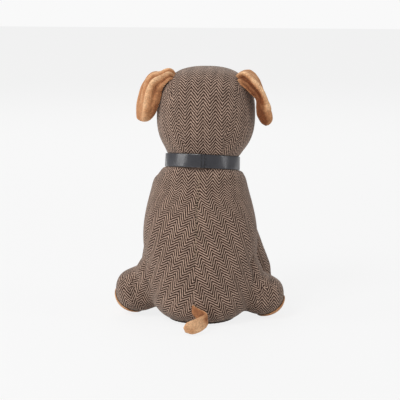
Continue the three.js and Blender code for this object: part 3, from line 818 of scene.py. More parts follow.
# The middle strip's half width by the angle over the crown, from the back, in degrees
strip_half_width = np.interp(
    np.degrees(longitudes) % 360,
    [0, 20, 60, 110, 150, 175, 200, 250, 300, 320, 335, 348, 360],
    np.array([31, 36, 36.5, 34, 24, 12, 10, 14, 20, 20.5, 22, 26, 31]) * mm,
)
seam_latitudes = []
for side in (1, -1):
    wanted = strip_centre + side * strip_half_width - head_centre[0]
    latitude = np.full(head_columns, side * 0.5)
    for _ in range(8):
        reached = skin(head_form, head_centre, around_x(latitude, longitudes))
        latitude = np.arcsin(np.clip(wanted / np.linalg.norm(reached - head_centre, axis=-1), -0.95, 0.95))
    seam_latitudes.append(latitude)
left_seam, right_seam = seam_latitudes
quarter = math.pi / 2
near_pole = math.radians(3)
share = np.linspace(0, 1, side_rows + 1)[:, None]
left_rows = (quarter - near_pole) * (1 - share) + left_seam * share
strip_share = np.linspace(0, 1, strip_rows + 1)[1:, None]
middle_rows = left_seam * (1 - strip_share) + right_seam * strip_share
right_rows = right_seam * (1 - share[1:]) - (quarter - near_pole) * share[1:]
head_latitudes = np.concatenate([left_rows, middle_rows, right_rows])
head_directions = around_x(head_latitudes, np.broadcast_to(longitudes, head_latitudes.shape))
head_points = skin(head_form, head_centre, head_directions, body_inset)
poles = skin(head_form, head_centre, np.array([[1.0, 0, 0], [-1.0, 0, 0]]), body_inset)
head_cover = mesh_object("tweed_head", *closed_grid(head_points, poles[0], poles[1]))
head_rows = len(head_points)


def head_index(row, column):
    return row * head_columns + column % head_columns


strip_edges = (side_rows, side_rows + strip_rows)
centre_row = side_rows + strip_rows // 2
dart_top = 236 * mm
dart_columns = [
    column
    for column in range(head_columns)
    if abs(math.degrees(longitudes[column])) < 45 and head_points[centre_row, column, 2] < dart_top
]
pairs = ring_edges(head_index, centre_row, dart_columns)
for row in strip_edges:
    pairs += ring_edges(head_index, row, range(head_columns))
off_collar = (head_points.reshape(-1, 3) - neck_centre) @ neck_axis
in_collar = off_collar < collar_width * 0.25


def face_in_collar(row, column):
    return all(in_collar[head_index(row + down, column + along)] for down in (0, 1) for along in (0, 1))


for row in range(head_rows - 1):
    for column in range(head_columns):
        if face_in_collar(row, column) != face_in_collar(row, column - 1):
            pairs += line_edges(head_index, column, [row])
        if row and face_in_collar(row, column) != face_in_collar(row - 1, column):
            pairs += ring_edges(head_index, row, [column])
mark_seams(head_cover.data, pairs)
# The eyes' washers hold the cloth as it was, and it lies a little higher over them
eye_hold = 10 * mm
washer_cover = 1.3 * mm
eye_places = [np.array(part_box(f"eye_{word}")).mean(0) for word in ("left", "right")]


def off_eyes(places):
    return np.min([np.linalg.norm(places - spot, axis=-1) for spot in eye_places], axis=0)


held = (off_collar < collar_width / 2) | (off_eyes(head_points.reshape(-1, 3)) < eye_hold)
sewn = {head_index(row, column) for row in strip_edges for column in range(head_columns)}
sewn |= {head_index(centre_row, column) for column in dart_columns}
stuffed(head_cover, sewn | set(np.flatnonzero(held)), stuffing_pressure, stuffing_swell)
unwrapped(head_cover)


def head_panel(first_row, last_row, grain_row, low, high, angle):
    """A panel's faces, its grain taken along a row between two angles above the back"""
    faces = [
        head_index(row, column)
        for row in range(first_row, last_row)
        for column in range(head_columns)
        if not face_in_collar(row, column)
    ]
    columns = [int(np.argmin(np.abs(np.degrees(longitudes) - end))) for end in (low, high)]
    return faces, *(head_index(grain_row, column) for column in columns), angle


side_lean = 18
strip_end = side_rows + strip_rows
head_panels = [
    head_panel(side_rows, strip_end, centre_row, 15, 60, 0),
    head_panel(0, side_rows, side_rows - 4, -10, 30, side_lean),
    head_panel(strip_end, head_rows - 1, strip_end + 4, -10, 30, -side_lean),
]
lay_grain(head_cover, head_panels)
rough_head = places_of(head_cover.data)
off_strap = np.flatnonzero(~in_collar)
head_lines = [rough_head[off_strap[off_strap // head_columns == row]] for row in strip_edges]
dart_line = rough_head[[head_index(centre_row, column) for column in dart_columns]]
finer(head_cover, 1)
off_washers = off_eyes(places_of(head_cover.data))
over_washers = washer_cover * (1 - smooth_step(off_washers, eye_hold, 1.8 * eye_hold))
# Seam sizes as for the body; the last number is how dark the painted shade in the seams is
head_seams = (1.6 * mm, 0.4 * mm, 0.1 * mm, 4.4 * mm, 0.2)
sink_seams(head_cover, [*head_lines, dart_line], *head_seams, over_washers)
head_cover.data.materials.append(tweed)
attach(head_cover, "root")
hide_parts("head_cover", "head_filling")

# Foreleg covers: the same tweed, each a tube of two panels with the paw turned forwards, stuffed tight and
# sewn to the body's front below the shoulder.
shoulder_joint = np.array([38, -28, 106]) * mm
foreleg_top_radius = 22 * mm
ankle = np.array([51, -50, 43]) * mm
ankle_radius = 22.5 * mm
paw_centre = np.array([52, -61, 21]) * mm
paw_radii = np.array([25, 28, 21.5]) * mm
paw_blend = 10 * mm
right_paw_out = 3.5 * mm
right_shoulder_in = 4 * mm
leg_columns = 64
leg_rows = 52


def rays_all_round(rows, columns):
    """Directions in rows from above to below, short of the poles"""
    angles = np.linspace(0, 2 * math.pi, columns, endpoint=False)
    polar = np.linspace(math.radians(4), math.radians(176), rows)[:, None]
    return np.stack(
        [np.sin(polar) * np.cos(angles), np.sin(polar) * np.sin(angles), np.cos(polar) + 0 * angles], -1
    )


def leg_index(row, column):
    return row * leg_columns + column % leg_columns


leg_inset = 0.8 * mm
leg_swell = 1.5 * mm
leg_grain = 8
# Seam sizes as for the body; the last number is how dark the painted shade in the seams is
leg_seams = (1.8 * mm, 0.6 * mm, 0.15 * mm, stitch_length, 0.3)


def foreleg_cover(name, side, node_names):
    spread = np.array([-right_paw_out if side < 0 else 0, 0, 0])
    mirror = np.array([side, 1, 1])
    shoulder = shoulder_joint * mirror + [right_shoulder_in if side < 0 else 0, 0, 0]
    foot = ankle * mirror + spread
    paw = paw_centre * mirror + spread

    def form(points):
        leg = limb(points, shoulder, foreleg_top_radius, foot, ankle_radius)
        whole = smooth_join(leg, ball(points, paw, paw_radii, 2), paw_blend)
        return np.maximum(whole, -points[..., 2])

    centre = shoulder_joint * mirror * 0.2 + ankle * mirror * 0.8 + spread
    rays = evened(rays_all_round(leg_rows, leg_columns), form, centre)
    points = skin(form, centre, rays, leg_inset)
    ends = skin(form, centre, np.array([[0, 0, 1.0], [0, 0, -1.0]]), leg_inset)
    made = mesh_object(name, *closed_grid(points, *ends))
    half = leg_columns // 2
    sides = (half, 0) if side > 0 else (0, half)
    base = leg_rows - 1 - int(np.argmax(points[::-1, leg_columns // 4, 2] > 3 * mm))
    top_end = leg_rows * leg_columns
    seams = ring_edges(leg_index, base, range(leg_columns))
    for column in sides:
        seams += line_edges(leg_index, column, range(leg_rows - 1)) + [(column, top_end)]
    mark_seams(made.data, seams)
    sewn = {leg_index(row, column) for row in range(leg_rows) for column in sides}
    sewn |= {leg_index(row, column) for row in range(base, leg_rows) for column in range(leg_columns)}
    stuffed(made, sewn | {top_end, top_end + 1}, stuffing_pressure, leg_swell)
    unwrapped(made)
    panels = []
    for first in (0, half):
        faces = [leg_index(row, column) for row in range(base) for column in range(first, first + half)]
        middle = first + half // 2
        panels.append((faces, leg_index(base - 3, middle), leg_index(base // 2, middle), leg_grain * side))
    lay_grain(made, panels)
    rough = places_of(made.data)
    lines = [rough[[leg_index(row, column) for row in range(2, base)]] for column in sides]
    finer(made, 1)
    sink_seams(made, lines, *leg_seams)
    made.data.materials.append(tweed)
    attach(made, "root")
    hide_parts(*node_names)


foreleg_cover("tweed_foreleg_left", 1, ["foreleg_cover_left", "foreleg_filling_left"])
foreleg_cover("tweed_foreleg_right", -1, ["foreleg_cover_right", "foreleg_filling_right"])

# Ears and tail: tan pigskin suede, two layers sewn face to face and turned, gathered in pleats at the root
# and caught in the head's seam; the tail is a narrow leaf folded back on itself.


def brushed_suede(name):
    """Tan suede, split leather brushed to a short pile: no gloss, blotches where the pile lies another way"""
    made = bpy.data.materials.new(name)
    tree = shader_tree(made)
    place = add(tree, "ShaderNodeTexCoord").outputs["Object"]
    blotch = add(tree, "ShaderNodeTexNoise", Vector=place, Scale=0.07 / mm, Detail=4.0, Roughness=0.6)
    fibre = add(tree, "ShaderNodeTexNoise", Vector=place, Scale=0.62 / mm, Detail=3.0)
    # Painted light and shade noted on each piece: lighter ridges, darker valleys and shaded faces; the
    # blotches are added to it
    tone_and_painted_light = add(tree, "ShaderNodeAttribute", attribute_name="tone_and_painted_light")
    brushed = add(tree, "ShaderNodeMath", blotch, 0.9, -0.45, operation="MULTIPLY_ADD")
    painted_light_and_nap = add(tree, "ShaderNodeMath", tone_and_painted_light.outputs["Fac"], brushed, operation="ADD")
    tone = add(tree, "ShaderNodeValToRGB", painted_light_and_nap)
    stops = tone.color_ramp.elements
    stops[0].position, stops[0].color = 0.0, linear("#7A4527")
    stops[1].position, stops[1].color = 1.0, linear("#EBC298")
    stops.new(0.5).color = linear("#B98259")
    light = add(tree, "ShaderNodeMapRange", fibre, From_Min=0.34, From_Max=0.66, To_Min=0.76, To_Max=1.2)
    napped = add(tree, "ShaderNodeVectorMath", tone, operation="SCALE", Scale=light)
    bump = add(tree, "ShaderNodeBump", Strength=0.4, Distance=0.4 * mm, Height=fibre)
    matt = {"Roughness": 0.9, "Specular_IOR_Level": 0.2}
    hairy = {"Sheen_Weight": 0.25, "Sheen_Roughness": 0.5, "Sheen_Tint": linear("#F0C8A0")}
    shader = add(tree, "ShaderNodeBsdfPrincipled", Base_Color=napped, Normal=bump, **matt, **hairy)
    add(tree, "ShaderNodeOutputMaterial", shader)
    return made


suede = brushed_suede("tan_suede")
crest_rounding = 0.2
pleat_width = 0.14
rim_share = 0.35
crumple_size = 11 * mm
crumple_height = 1.2 * mm
light_by_ridge_height = 0.14
welt_height = 0.2
welt_place = 0.93
welt_width = 0.04


def wing_share(across):
    """How far a place on a leaf lies out on the wing of its own side, with the crest rounded"""
    return (across + np.hypot(across, crest_rounding)) / 2


def facing(sheet):
    return unit(np.cross(np.gradient(sheet, axis=0), np.gradient(sheet, axis=1)))


def leaf(name, rears, crests, fronts, pleats, thickness, along_steps, across_steps, shades, outer_light, inner_light):
    """A leaf of two sewn layers: its rear edge, crest and front edge run from root to tip. A pleat (across,
    height, until) lies at a share of the wing and has faded out at a share of the length. Painted light makes
    the ridges lighter and painted shade the valleys darker; a painted shade is (across, width, tone, start,
    until), and the last two numbers lighten or darken the outer and the inner layer as a whole, as painted
    light and shade."""
    along = np.linspace(0, 1, along_steps + 1)
    across = np.linspace(-1, 1, across_steps + 1)
    rear, crest, front = (through(line, along)[:, None] for line in (rears, crests, fronts))
    out = across[None, :, None]
    sheet = crest + (front - crest) * wing_share(out) + (rear - crest) * wing_share(-out)
    ridge = np.zeros(sheet.shape[:2])
    for place, height, until in pleats:
        fade = 1 - smooth_step(along, until / 2, until)
        fade = fade * (0.35 + 0.65 * smooth_step(along, 0, 0.2))
        ridge += (height * mm * fade)[:, None] * np.exp(-(((across - place) / pleat_width) ** 2))[None, :]
    ridge *= 1 - across**4
    spots = [[Vector(spot) for spot in row] for row in sheet / crumple_size]
    crumple = [[noise.noise(spot) * 0.7 + noise.noise(spot * 2.7) * 0.3 for spot in row] for row in spots]
    ridge += np.array(crumple) * crumple_height
    # Painted light and shade: higher ridges lighter, valleys darker, and the outer layer lighter or darker as
    # a whole
    painted_light_and_nap = np.clip(0.5 + outer_light + light_by_ridge_height * ridge / mm, 0.12, 0.95)
    for place, width, tone, start, until in shades:
        stretch = smooth_step(along, start, start + 0.15) * (1 - smooth_step(along, until - 0.1, until))
        painted_light_and_nap = painted_light_and_nap + tone * stretch[:, None] * np.exp(-(((across - place) / width) ** 2))[None, :]
    rim = np.maximum(np.sqrt(1 - across**6), rim_share)[None, :]
    end = np.maximum(np.sqrt(1 - along**10), rim_share)[:, None]
    welted = np.exp(-(((np.abs(across) - welt_place) / welt_width) ** 2))[None, :] * (along < 0.94)[:, None]
    welt = 1 + welt_height * welted
    swell = (thickness / 2 * rim * end * welt)[..., None] * facing(sheet)
    raised = np.maximum(ridge, -0.75 * thickness * (rim * end))[..., None] * facing(sheet)
    inner, outer = sheet + swell, sheet - swell - raised
    row, other = len(across), inner.shape[0] * inner.shape[1]
    faces = []
    for i in range(along_steps):
        for j in range(across_steps):
            k = i * row + j
            faces.append((k, k + row, k + row + 1, k + 1))
            faces.append((other + k, other + k + 1, other + k + row + 1, other + k + row))
        first, last = i * row, i * row + across_steps
        faces.append((first, other + first, other + first + row, first + row))
        faces.append((last, last + row, other + last + row, other + last))
    tip = along_steps * row
    for j in range(across_steps):
        faces.append((j, j + 1, other + j + 1, other + j))
        faces.append((tip + j, other + tip + j, other + tip + j + 1, tip + j + 1))
    made = mesh_object(name, np.concatenate([inner.reshape(-1, 3), outer.reshape(-1, 3)]), faces)
    # The inner layer gets one even painted light or shade
    note(made, "tone_and_painted_light", np.concatenate([(0 * painted_light_and_nap + 0.5 + inner_light).ravel(), painted_light_and_nap.ravel()]))
    finer(made, 1)
    made.data.materials.append(suede)
    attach(made, "root")
    return made


ear_length = 78 * mm
ear_width = 40 * mm
ear_thickness = 4 * mm
ear_root_back = 0.3
# A row is its crest (out, back, up) from the root in shares of the length, and the rear and front edges
# off the crest in shares of the width
# Each ear also lists its painted shades: a contact shadow along the left ear's rear edge where it lies against
# the head, and the shaded rear wing and valley of the right ear
ear_hangs = {
    "left": (
        36,
        [(0.58, 3.4, 0.7), (0.32, -3.2, 0.75), (0.02, 2.6, 1), (-0.4, -2, 0.85), (0.75, -1.5, 0.9)],
        [(-0.85, 0.2, -0.3, 0.3, 0.95)],
        [
            ((-0.02, -0.02, -0.13), (0, 0.08, -0.08), (0.02, -0.18, 0.06)),
            ((0.06, 0.05, -0.02), (-0.05, 0.1, -0.12), (0, -0.3, 0.12)),
            ((0.16, 0.13, -0.045), (-0.07, 0.03, -0.21), (0.06, -0.58, 0.1)),
            ((0.28, 0.19, -0.11), (-0.23, -0.05, -0.24), (0.16, -0.75, 0.18)),
            ((0.33, 0.23, -0.23), (-0.31, -0.1, -0.16), (0.33, -0.8, 0)),
            ((0.36, 0.26, -0.4), (-0.3, -0.12, -0.04), (0.36, -0.75, -0.14)),
            ((0.4, 0.22, -0.56), (-0.27, -0.08, 0), (0.27, -0.6, -0.12)),
            ((0.44, 0.09, -0.67), (-0.15, 0.02, 0.02), (0.1, -0.2, 0)),
        ],
    ),
    "right": (
        44,
        [(-0.3, -3.4, 0.7), (0, 2.2, 0.95), (-0.6, 2, 0.8)],
        [(-0.66, 0.3, -0.75, 0.1, 1.1), (-0.28, 0.12, -0.4, 0.05, 0.7)],
        [
            ((-0.09, -0.03, -0.03), (0.01, 0.15, -0.12), (-0.01, -0.22, 0.05)),
            ((0.02, 0.03, 0.07), (-0.04, 0.18, -0.3), (-0.05, -0.35, 0.01)),
            ((0.1, 0.14, 0.05), (-0.04, 0.08, -0.35), (0.02, -0.58, 0.1)),
            ((0.2, 0.21, -0.05), (-0.08, -0.02, -0.3), (0.04, -0.72, 0.11)),
            ((0.3, 0.22, -0.17), (-0.16, -0.08, -0.21), (-0.02, -0.72, -0.01)),
            ((0.37, 0.22, -0.29), (-0.29, -0.15, -0.2), (-0.05, -0.72, -0.1)),
            ((0.42, 0.19, -0.44), (-0.36, -0.18, -0.14), (-0.05, -0.65, -0.09)),
            ((0.43, 0.13, -0.55), (-0.28, -0.1, -0.1), (-0.04, -0.45, -0.08)),
            ((0.37, 0.04, -0.65), (-0.05, -0.02, -0.01), (0.02, -0.12, 0)),
        ],
    ),
}
for word, side in (("left", 1), ("right", -1)):
    root_side, pleats, shades, hang = ear_hangs[word]
    root_angle = math.radians(root_side)
    root_ray = np.array([side * math.sin(root_angle), ear_root_back, math.cos(root_angle)])
    root = skin(head_form, head_centre, unit(root_ray))
    rows = np.array(hang) * [side, 1, 1]
    crests = root + rows[:, 0] * ear_length
    rears = crests + rows[:, 1] * ear_width
    fronts = crests + rows[:, 2] * ear_width
    edges = (rears, crests, fronts) if side > 0 else (fronts, crests, rears)
    pleats = [(place * side, *rest) for place, *rest in pleats]
    shades = [(place * side, *rest) for place, *rest in shades]
    # The outer layer is painted a shade lighter and the inner a shade darker
    ear = leaf(f"suede_ear_{word}", *edges, pleats, ear_thickness, 90, 72, shades, 0.02, -0.1)
    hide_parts(f"ear_{word}")

tail_height = 19 * mm
tail_shift = 1.7 * mm
tail_length = 46 * mm
tail_half_width = 8.4 * mm
tail_thickness = 3.6 * mm
# A row is (right, back, up) of the crest in shares of the length, and how far half the width leans
tail_rows = [
    (-0.02, -0.1, 0.08, (0, 0, 0.4)),
    (0.01, 0, 0, (0, 0, 0.6)),
    (0.15, 0.13, -0.06, (0, 0.1, 0.75)),
    (0.32, 0.26, -0.12, (0.05, 0.3, 0.75)),
    (0.26, 0.46, -0.16, (0.3, 0.3, 0.8)),
    (0.13, 0.66, -0.2, (0.42, 0.15, 0.82)),
    (-0.03, 0.74, -0.25, (0.4, 0, 0.72)),
    (-0.15, 0.73, -0.29, (0.12, 0, 0.3)),
]
tail_root = skin(body_form, np.array([0, 0, tail_height]), unit(np.array([tail_shift, back_at_base, 0])))
tail_crest = tail_root + np.array([(-right, back, up) for right, back, up, _ in tail_rows]) * tail_length
tail_half = np.array([lean for *_, lean in tail_rows]) * tail_half_width
tail_edges = (tail_crest - tail_half, tail_crest, tail_crest + tail_half)
# Painted shade on the tail's inner face where it folds back; the outer layer is painted lighter, as lit from
# above, and the inner darker
tail_shades = [(0.3, 0.6, -0.5, 0.3, 0.6)]
tail = leaf("suede_tail", *tail_edges, [], tail_thickness, 84, 30, tail_shades, 0.22, -0.3)
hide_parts("tail")

# Soles: two discs of the tan suede that the ears are made of, sewn over the openings at the ends of
# the hind feet, so that they close them.
sole_thickness = 1.5 * mm


def sole(name, foot, axis, node):
    across = unit(np.cross(axis, [0, 0, 1.0]))
    upward = np.cross(across, axis)
    rings, spokes = 16, 64
    radius = np.linspace(0.04, 1, rings) * sole_radius
    angles = np.linspace(0, 2 * math.pi, spokes, endpoint=False)
    flat = radius[:, None, None] * (np.cos(angles)[:, None] * across + np.sin(angles)[:, None] * upward)
    rays = unit(flat + axis * math.sqrt(left_foot_radii[0] ** 2 - sole_radius**2))
    under = skin(body_form, foot, rays, 0.7 * mm)
    rim = np.sqrt(np.clip(1 - (radius / (sole_radius * 1.02)) ** 8, 0, 1))[:, None, None]
    top = under + unit(under - foot) * (sole_thickness * (0.25 + 0.75 * rim))
    top[..., 2] = np.maximum(top[..., 2], 0.2 * mm)
    under[..., 2] = np.maximum(under[..., 2], 0.2 * mm)
    ends = (top[0].mean(0), under[0].mean(0))
    made = mesh_object(name, *closed_grid(np.concatenate([top, under[::-1]]), *ends))
    note(made, "tone_and_painted_light", np.full(len(made.data.vertices), 0.62))
    finer(made, 1)
    made.data.materials.append(suede)
    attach(made, "root")
    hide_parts(node)


sole("suede_sole_left", left_foot, left_sole_axis, "sole_left")
sole("suede_sole_right", right_foot, right_sole_axis, "sole_right")

# Collar: a strap of dark grey leatherette, folded smooth, drawn once round the neck over the seam between
# head and body, its ends lapped at the back and sewn through.
strap_thickness = 2.0 * mm
lap = 12 * mm


def leatherette_finish(name):
    """Leatherette, a soft PVC film on cloth with a faint printed grain: half gloss"""
    made = bpy.data.materials.new(name)
    tree = shader_tree(made)
    place = add(tree, "ShaderNodeTexCoord").outputs["Object"]
    grain = add(tree, "ShaderNodeTexVoronoi", feature="F1", Vector=place, Scale=0.9 / mm)
    crease = add(tree, "ShaderNodeTexNoise", Vector=place, Scale=0.06 / mm, Detail=3.0)
    tone = add(tree, "ShaderNodeMix", crease, linear("#232327"), linear("#3C3C42"), data_type="RGBA")
    height = add(tree, "ShaderNodeMath", crease, 3.0, grain, operation="MULTIPLY_ADD")
    bump = add(tree, "ShaderNodeBump", Strength=0.25, Distance=0.3 * mm, Height=height)
    gloss = {"Roughness": 0.3, "Coat_Weight": 0.35, "Coat_Roughness": 0.22}
    shader = add(tree, "ShaderNodeBsdfPrincipled", Base_Color=tone, Normal=bump, **gloss)
    add(tree, "ShaderNodeOutputMaterial", shader)
    return made


leatherette = leatherette_finish("grey_leatherette")
strap_radius = neck_radius + 0.1 * mm
strap_ease = 0.4 * mm
lap_turn = lap / strap_radius
strap_steps = 260
wave_height = 0.35 * mm
strap_tilt = 0.09
section_steps = 28
turns = np.linspace(0, 2 * math.pi + lap_turn, strap_steps)
climb = np.clip((turns - (2 * math.pi - lap_turn * 1.5)) / (lap_turn * 1.5), 0, 1)
lap_lift = (strap_thickness + 0.15 * mm) * climb * climb * (3 - 2 * climb)
strap_angles = turns + math.pi / 2 - lap_turn / 2
side_axis = unit(np.cross([0, 1.0, 0], neck_axis))
front_axis = np.cross(neck_axis, side_axis)
section = np.linspace(0, 2 * math.pi, section_steps, endpoint=False)
section_out = np.sign(np.cos(section)) * np.abs(np.cos(section)) ** 0.35 * strap_thickness / 2
section_up = np.sign(np.sin(section)) * np.abs(np.sin(section)) ** 0.18 * collar_width / 2


def uneven(spread, level):
    """Chance numbers that change smoothly and meet again once round the neck"""
    return np.array([noise.noise(Vector((math.cos(t) * spread, math.sin(t) * spread, level))) for t in turns])


waves = uneven(2.6, 4.0) * wave_height
tilts = uneven(3.4, 9.0) * strap_tilt
# The ease between strap and neck dies away at the strap's two ends
at_ends = np.exp(-((turns / 0.05) ** 2)) + np.exp(-(((turns - turns[-1]) / 0.05) ** 2))
out_to = strap_radius + strap_ease + strap_thickness / 2 + lap_lift[:, None] + section_out + waves[:, None]
out_to = out_to + tilts[:, None] * section_up - strap_ease * at_ends[:, None]
strap_outward = np.cos(strap_angles)[:, None] * side_axis + np.sin(strap_angles)[:, None] * front_axis
strap = neck_centre + out_to[..., None] * strap_outward[:, None] + section_up[:, None] * neck_axis
collar = mesh_object("leatherette_collar", *closed_grid(strap, strap[0].mean(0), strap[-1].mean(0)))
finer(collar, 1)
collar.data.materials.append(leatherette)
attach(collar, "root")
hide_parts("collar")

# Nose: a small pad of the collar's leatherette, stuffed and sewn on, broad above and narrow below, with a
# crease down its middle and two nostrils pressed in.
nose_centre = head_centre + np.array([0, -74.2, -8.7]) * mm
nose_radii = np.array([10.6, 5.8, 7.8]) * mm
nose_squareness = 2.3
nose_rows = 40
nose_columns = 72
nose_crease = 0.7 * mm
nostril_depth = 1.4 * mm
nostril_reach = 1.9 * mm

rays = rays_all_round(nose_rows, nose_columns)
pad_radius = (np.abs(rays / nose_radii) ** nose_squareness).sum(-1) ** (-1 / nose_squareness)
pad = rays * pad_radius[..., None]
pad[..., 0] *= 0.78 + 0.22 * np.clip(pad[..., 2] / nose_radii[2] + 0.4, -1, 1)
in_crease = (pad[..., 1] < 0) & (pad[..., 2] < 2 * mm)
pad[..., 1] += nose_crease * np.exp(-((pad[..., 0] / (0.9 * mm)) ** 2)) * in_crease
for side in (1, -1):
    off = np.hypot(pad[..., 0] - side * 5 * mm, pad[..., 2] + 1.5 * mm)
    pad[..., 1] += nostril_depth * np.exp(-((off / nostril_reach) ** 2)) * (pad[..., 1] < 0)
pad = pad + nose_centre
nose = mesh_object("leatherette_nose", *closed_grid(pad, pad[0].mean(0), pad[-1].mean(0)))
finer(nose, 1)
nose.data.materials.append(leatherette)
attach(nose, "root")
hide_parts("nose")

# Eyes: black domed plastic with a plain shank, pushed through the head cover and held inside by white
# washers. Both are the CAD solids, with finishes of their own.


def moulded_plastic(name, dark, pale, **gloss):
    """Injection-moulded plastic with faint flow marks: smooth, and glossy where its mould was polished"""
    made = bpy.data.materials.new(name)
    tree = shader_tree(made)
    place = add(tree, "ShaderNodeTexCoord").outputs["Object"]
    flow = add(tree, "ShaderNodeTexNoise", Vector=place, Scale=0.16 / mm, Detail=3.0)
    tone = add(tree, "ShaderNodeMix", flow, linear(dark), linear(pale), data_type="RGBA")
    bump = add(tree, "ShaderNodeBump", Strength=0.06, Distance=0.1 * mm, Height=flow)
    shader = add(tree, "ShaderNodeBsdfPrincipled", Base_Color=tone, Normal=bump, **gloss)
    add(tree, "ShaderNodeOutputMaterial", shader)
    return made


def paint_node(node, finish):
    """Gives a solid of the CAD model its material"""
    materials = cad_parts[node].data.materials
    materials.clear()
    materials.append(finish)


eye_gloss = {"Roughness": 0.12, "Coat_Weight": 0.6}
washer_gloss = {"Roughness": 0.45, "Coat_Weight": 0.0}
eye_plastic = moulded_plastic("black_gloss_acrylic", "#0A0909", "#16120F", **eye_gloss)
washer_plastic = moulded_plastic("white_polypropylene", "#D2D2CD", "#E2E2DE", **washer_gloss)
for word in ("left", "right"):
    paint_node(f"eye_{word}", eye_plastic)
    paint_node(f"eye_washer_{word}", washer_plastic)

# Base: an oval of dark brown cotton canvas sewn to the covers' lower edges, drawn flat by the weight bag of
# sand that lies on it.
base_centre = np.array([-3, 6.5, 0]) * mm
base_radii = (37 * mm, 43 * mm)
base_thickness = 0.8 * mm
base_rings = 22
base_spokes = 120
base_pucker = 0.12 * mm


def woven_canvas(name, dark, pale, thread):
    """Plain-woven cotton canvas: two sets of threads over and under each other; the threads are drawn at
    twice their size so that they show"""
    made = bpy.data.materials.new(name)
    tree = shader_tree(made)
    place = add(tree, "ShaderNodeTexCoord").outputs["Object"]
    axes = add(tree, "ShaderNodeSeparateXYZ", place)
    waves = []
    for axis in (0, 1):
        turns = add(tree, "ShaderNodeMath", axes.outputs[axis], math.pi / thread, operation="MULTIPLY")
        waves.append(add(tree, "ShaderNodeMath", turns, operation="SINE"))
    crossed = add(tree, "ShaderNodeMath", *waves, operation="MULTIPLY")
    weave = add(tree, "ShaderNodeMath", crossed, 0.5, 0.5, operation="MULTIPLY_ADD")
    woven = add(tree, "ShaderNodeMath", weave, 0.4, operation="MULTIPLY")
    fibre = add(tree, "ShaderNodeTexNoise", Vector=place, Scale=0.7 / mm, Detail=3.0)
    both = add(tree, "ShaderNodeMath", fibre, 0.6, woven, operation="MULTIPLY_ADD")
    tone = add(tree, "ShaderNodeMix", both, linear(dark), linear(pale), data_type="RGBA")
    bump = add(tree, "ShaderNodeBump", Strength=0.5, Distance=0.2 * mm, Height=both)
    shader = add(tree, "ShaderNodeBsdfPrincipled", Base_Color=tone, Normal=bump, Roughness=0.95)
    add(tree, "ShaderNodeOutputMaterial", shader)
    return made


canvas = woven_canvas("brown_cotton_canvas", "#2A1F18", "#5A473A", 0.5 * mm)
angles = np.linspace(0, 2 * math.pi, base_spokes, endpoint=False)
outline = np.stack([np.cos(angles), np.sin(angles)], -1)
outline /= (np.abs(outline) ** body_squareness).sum(-1, keepdims=True) ** (1 / body_squareness)
ring = np.concatenate([outline * base_radii, 0 * angles[:, None]], -1)
share = np.linspace(0.05, 1, base_rings)[:, None]
# Its edge turns up with the rounding of the cover's own lower edge
off_flat = base_half_width - base_rounding - base_radii[0]
climbed = np.maximum(-off_flat - np.linalg.norm(ring, axis=-1) * (1 - share), 0)
edge_rise = base_rounding - np.sqrt(base_rounding**2 - climbed**2)
edge_rise += smooth_step(share, 0.9, 1) * base_pucker * (1 + np.cos(angles * 44))
under = base_centre + ring * share[..., None]
under[..., 2] += edge_rise
over = under + [0, 0, base_thickness]
base_ends = (over[0].mean(0), under[0].mean(0))
base_panel = mesh_object("canvas_base", *closed_grid(np.concatenate([over, under[::-1]]), *base_ends))
base_panel.data.materials.append(canvas)
base_panel.data.polygons.foreach_set("use_smooth", np.ones(len(base_panel.data.polygons), bool))
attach(base_panel, "root")
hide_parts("base_panel")
paint_node("weight_bag", woven_canvas("natural_calico", "#B49A74", "#D8C4A2", 0.6 * mm))

# Stitches: pale brown waxed thread closes the spine over the stuffing in a ladder stitch and runs round the
# base's edge, and two upright rows of black thread go through the collar's lap, drawn thick and close enough
# to run together, as they also stand for the shadow line at the lap's end: painted shadow.
spine_thread = 0.7 * mm
lap_thread_and_shadow_width = 1.1 * mm
lap_stitch_length = 2.6 * mm


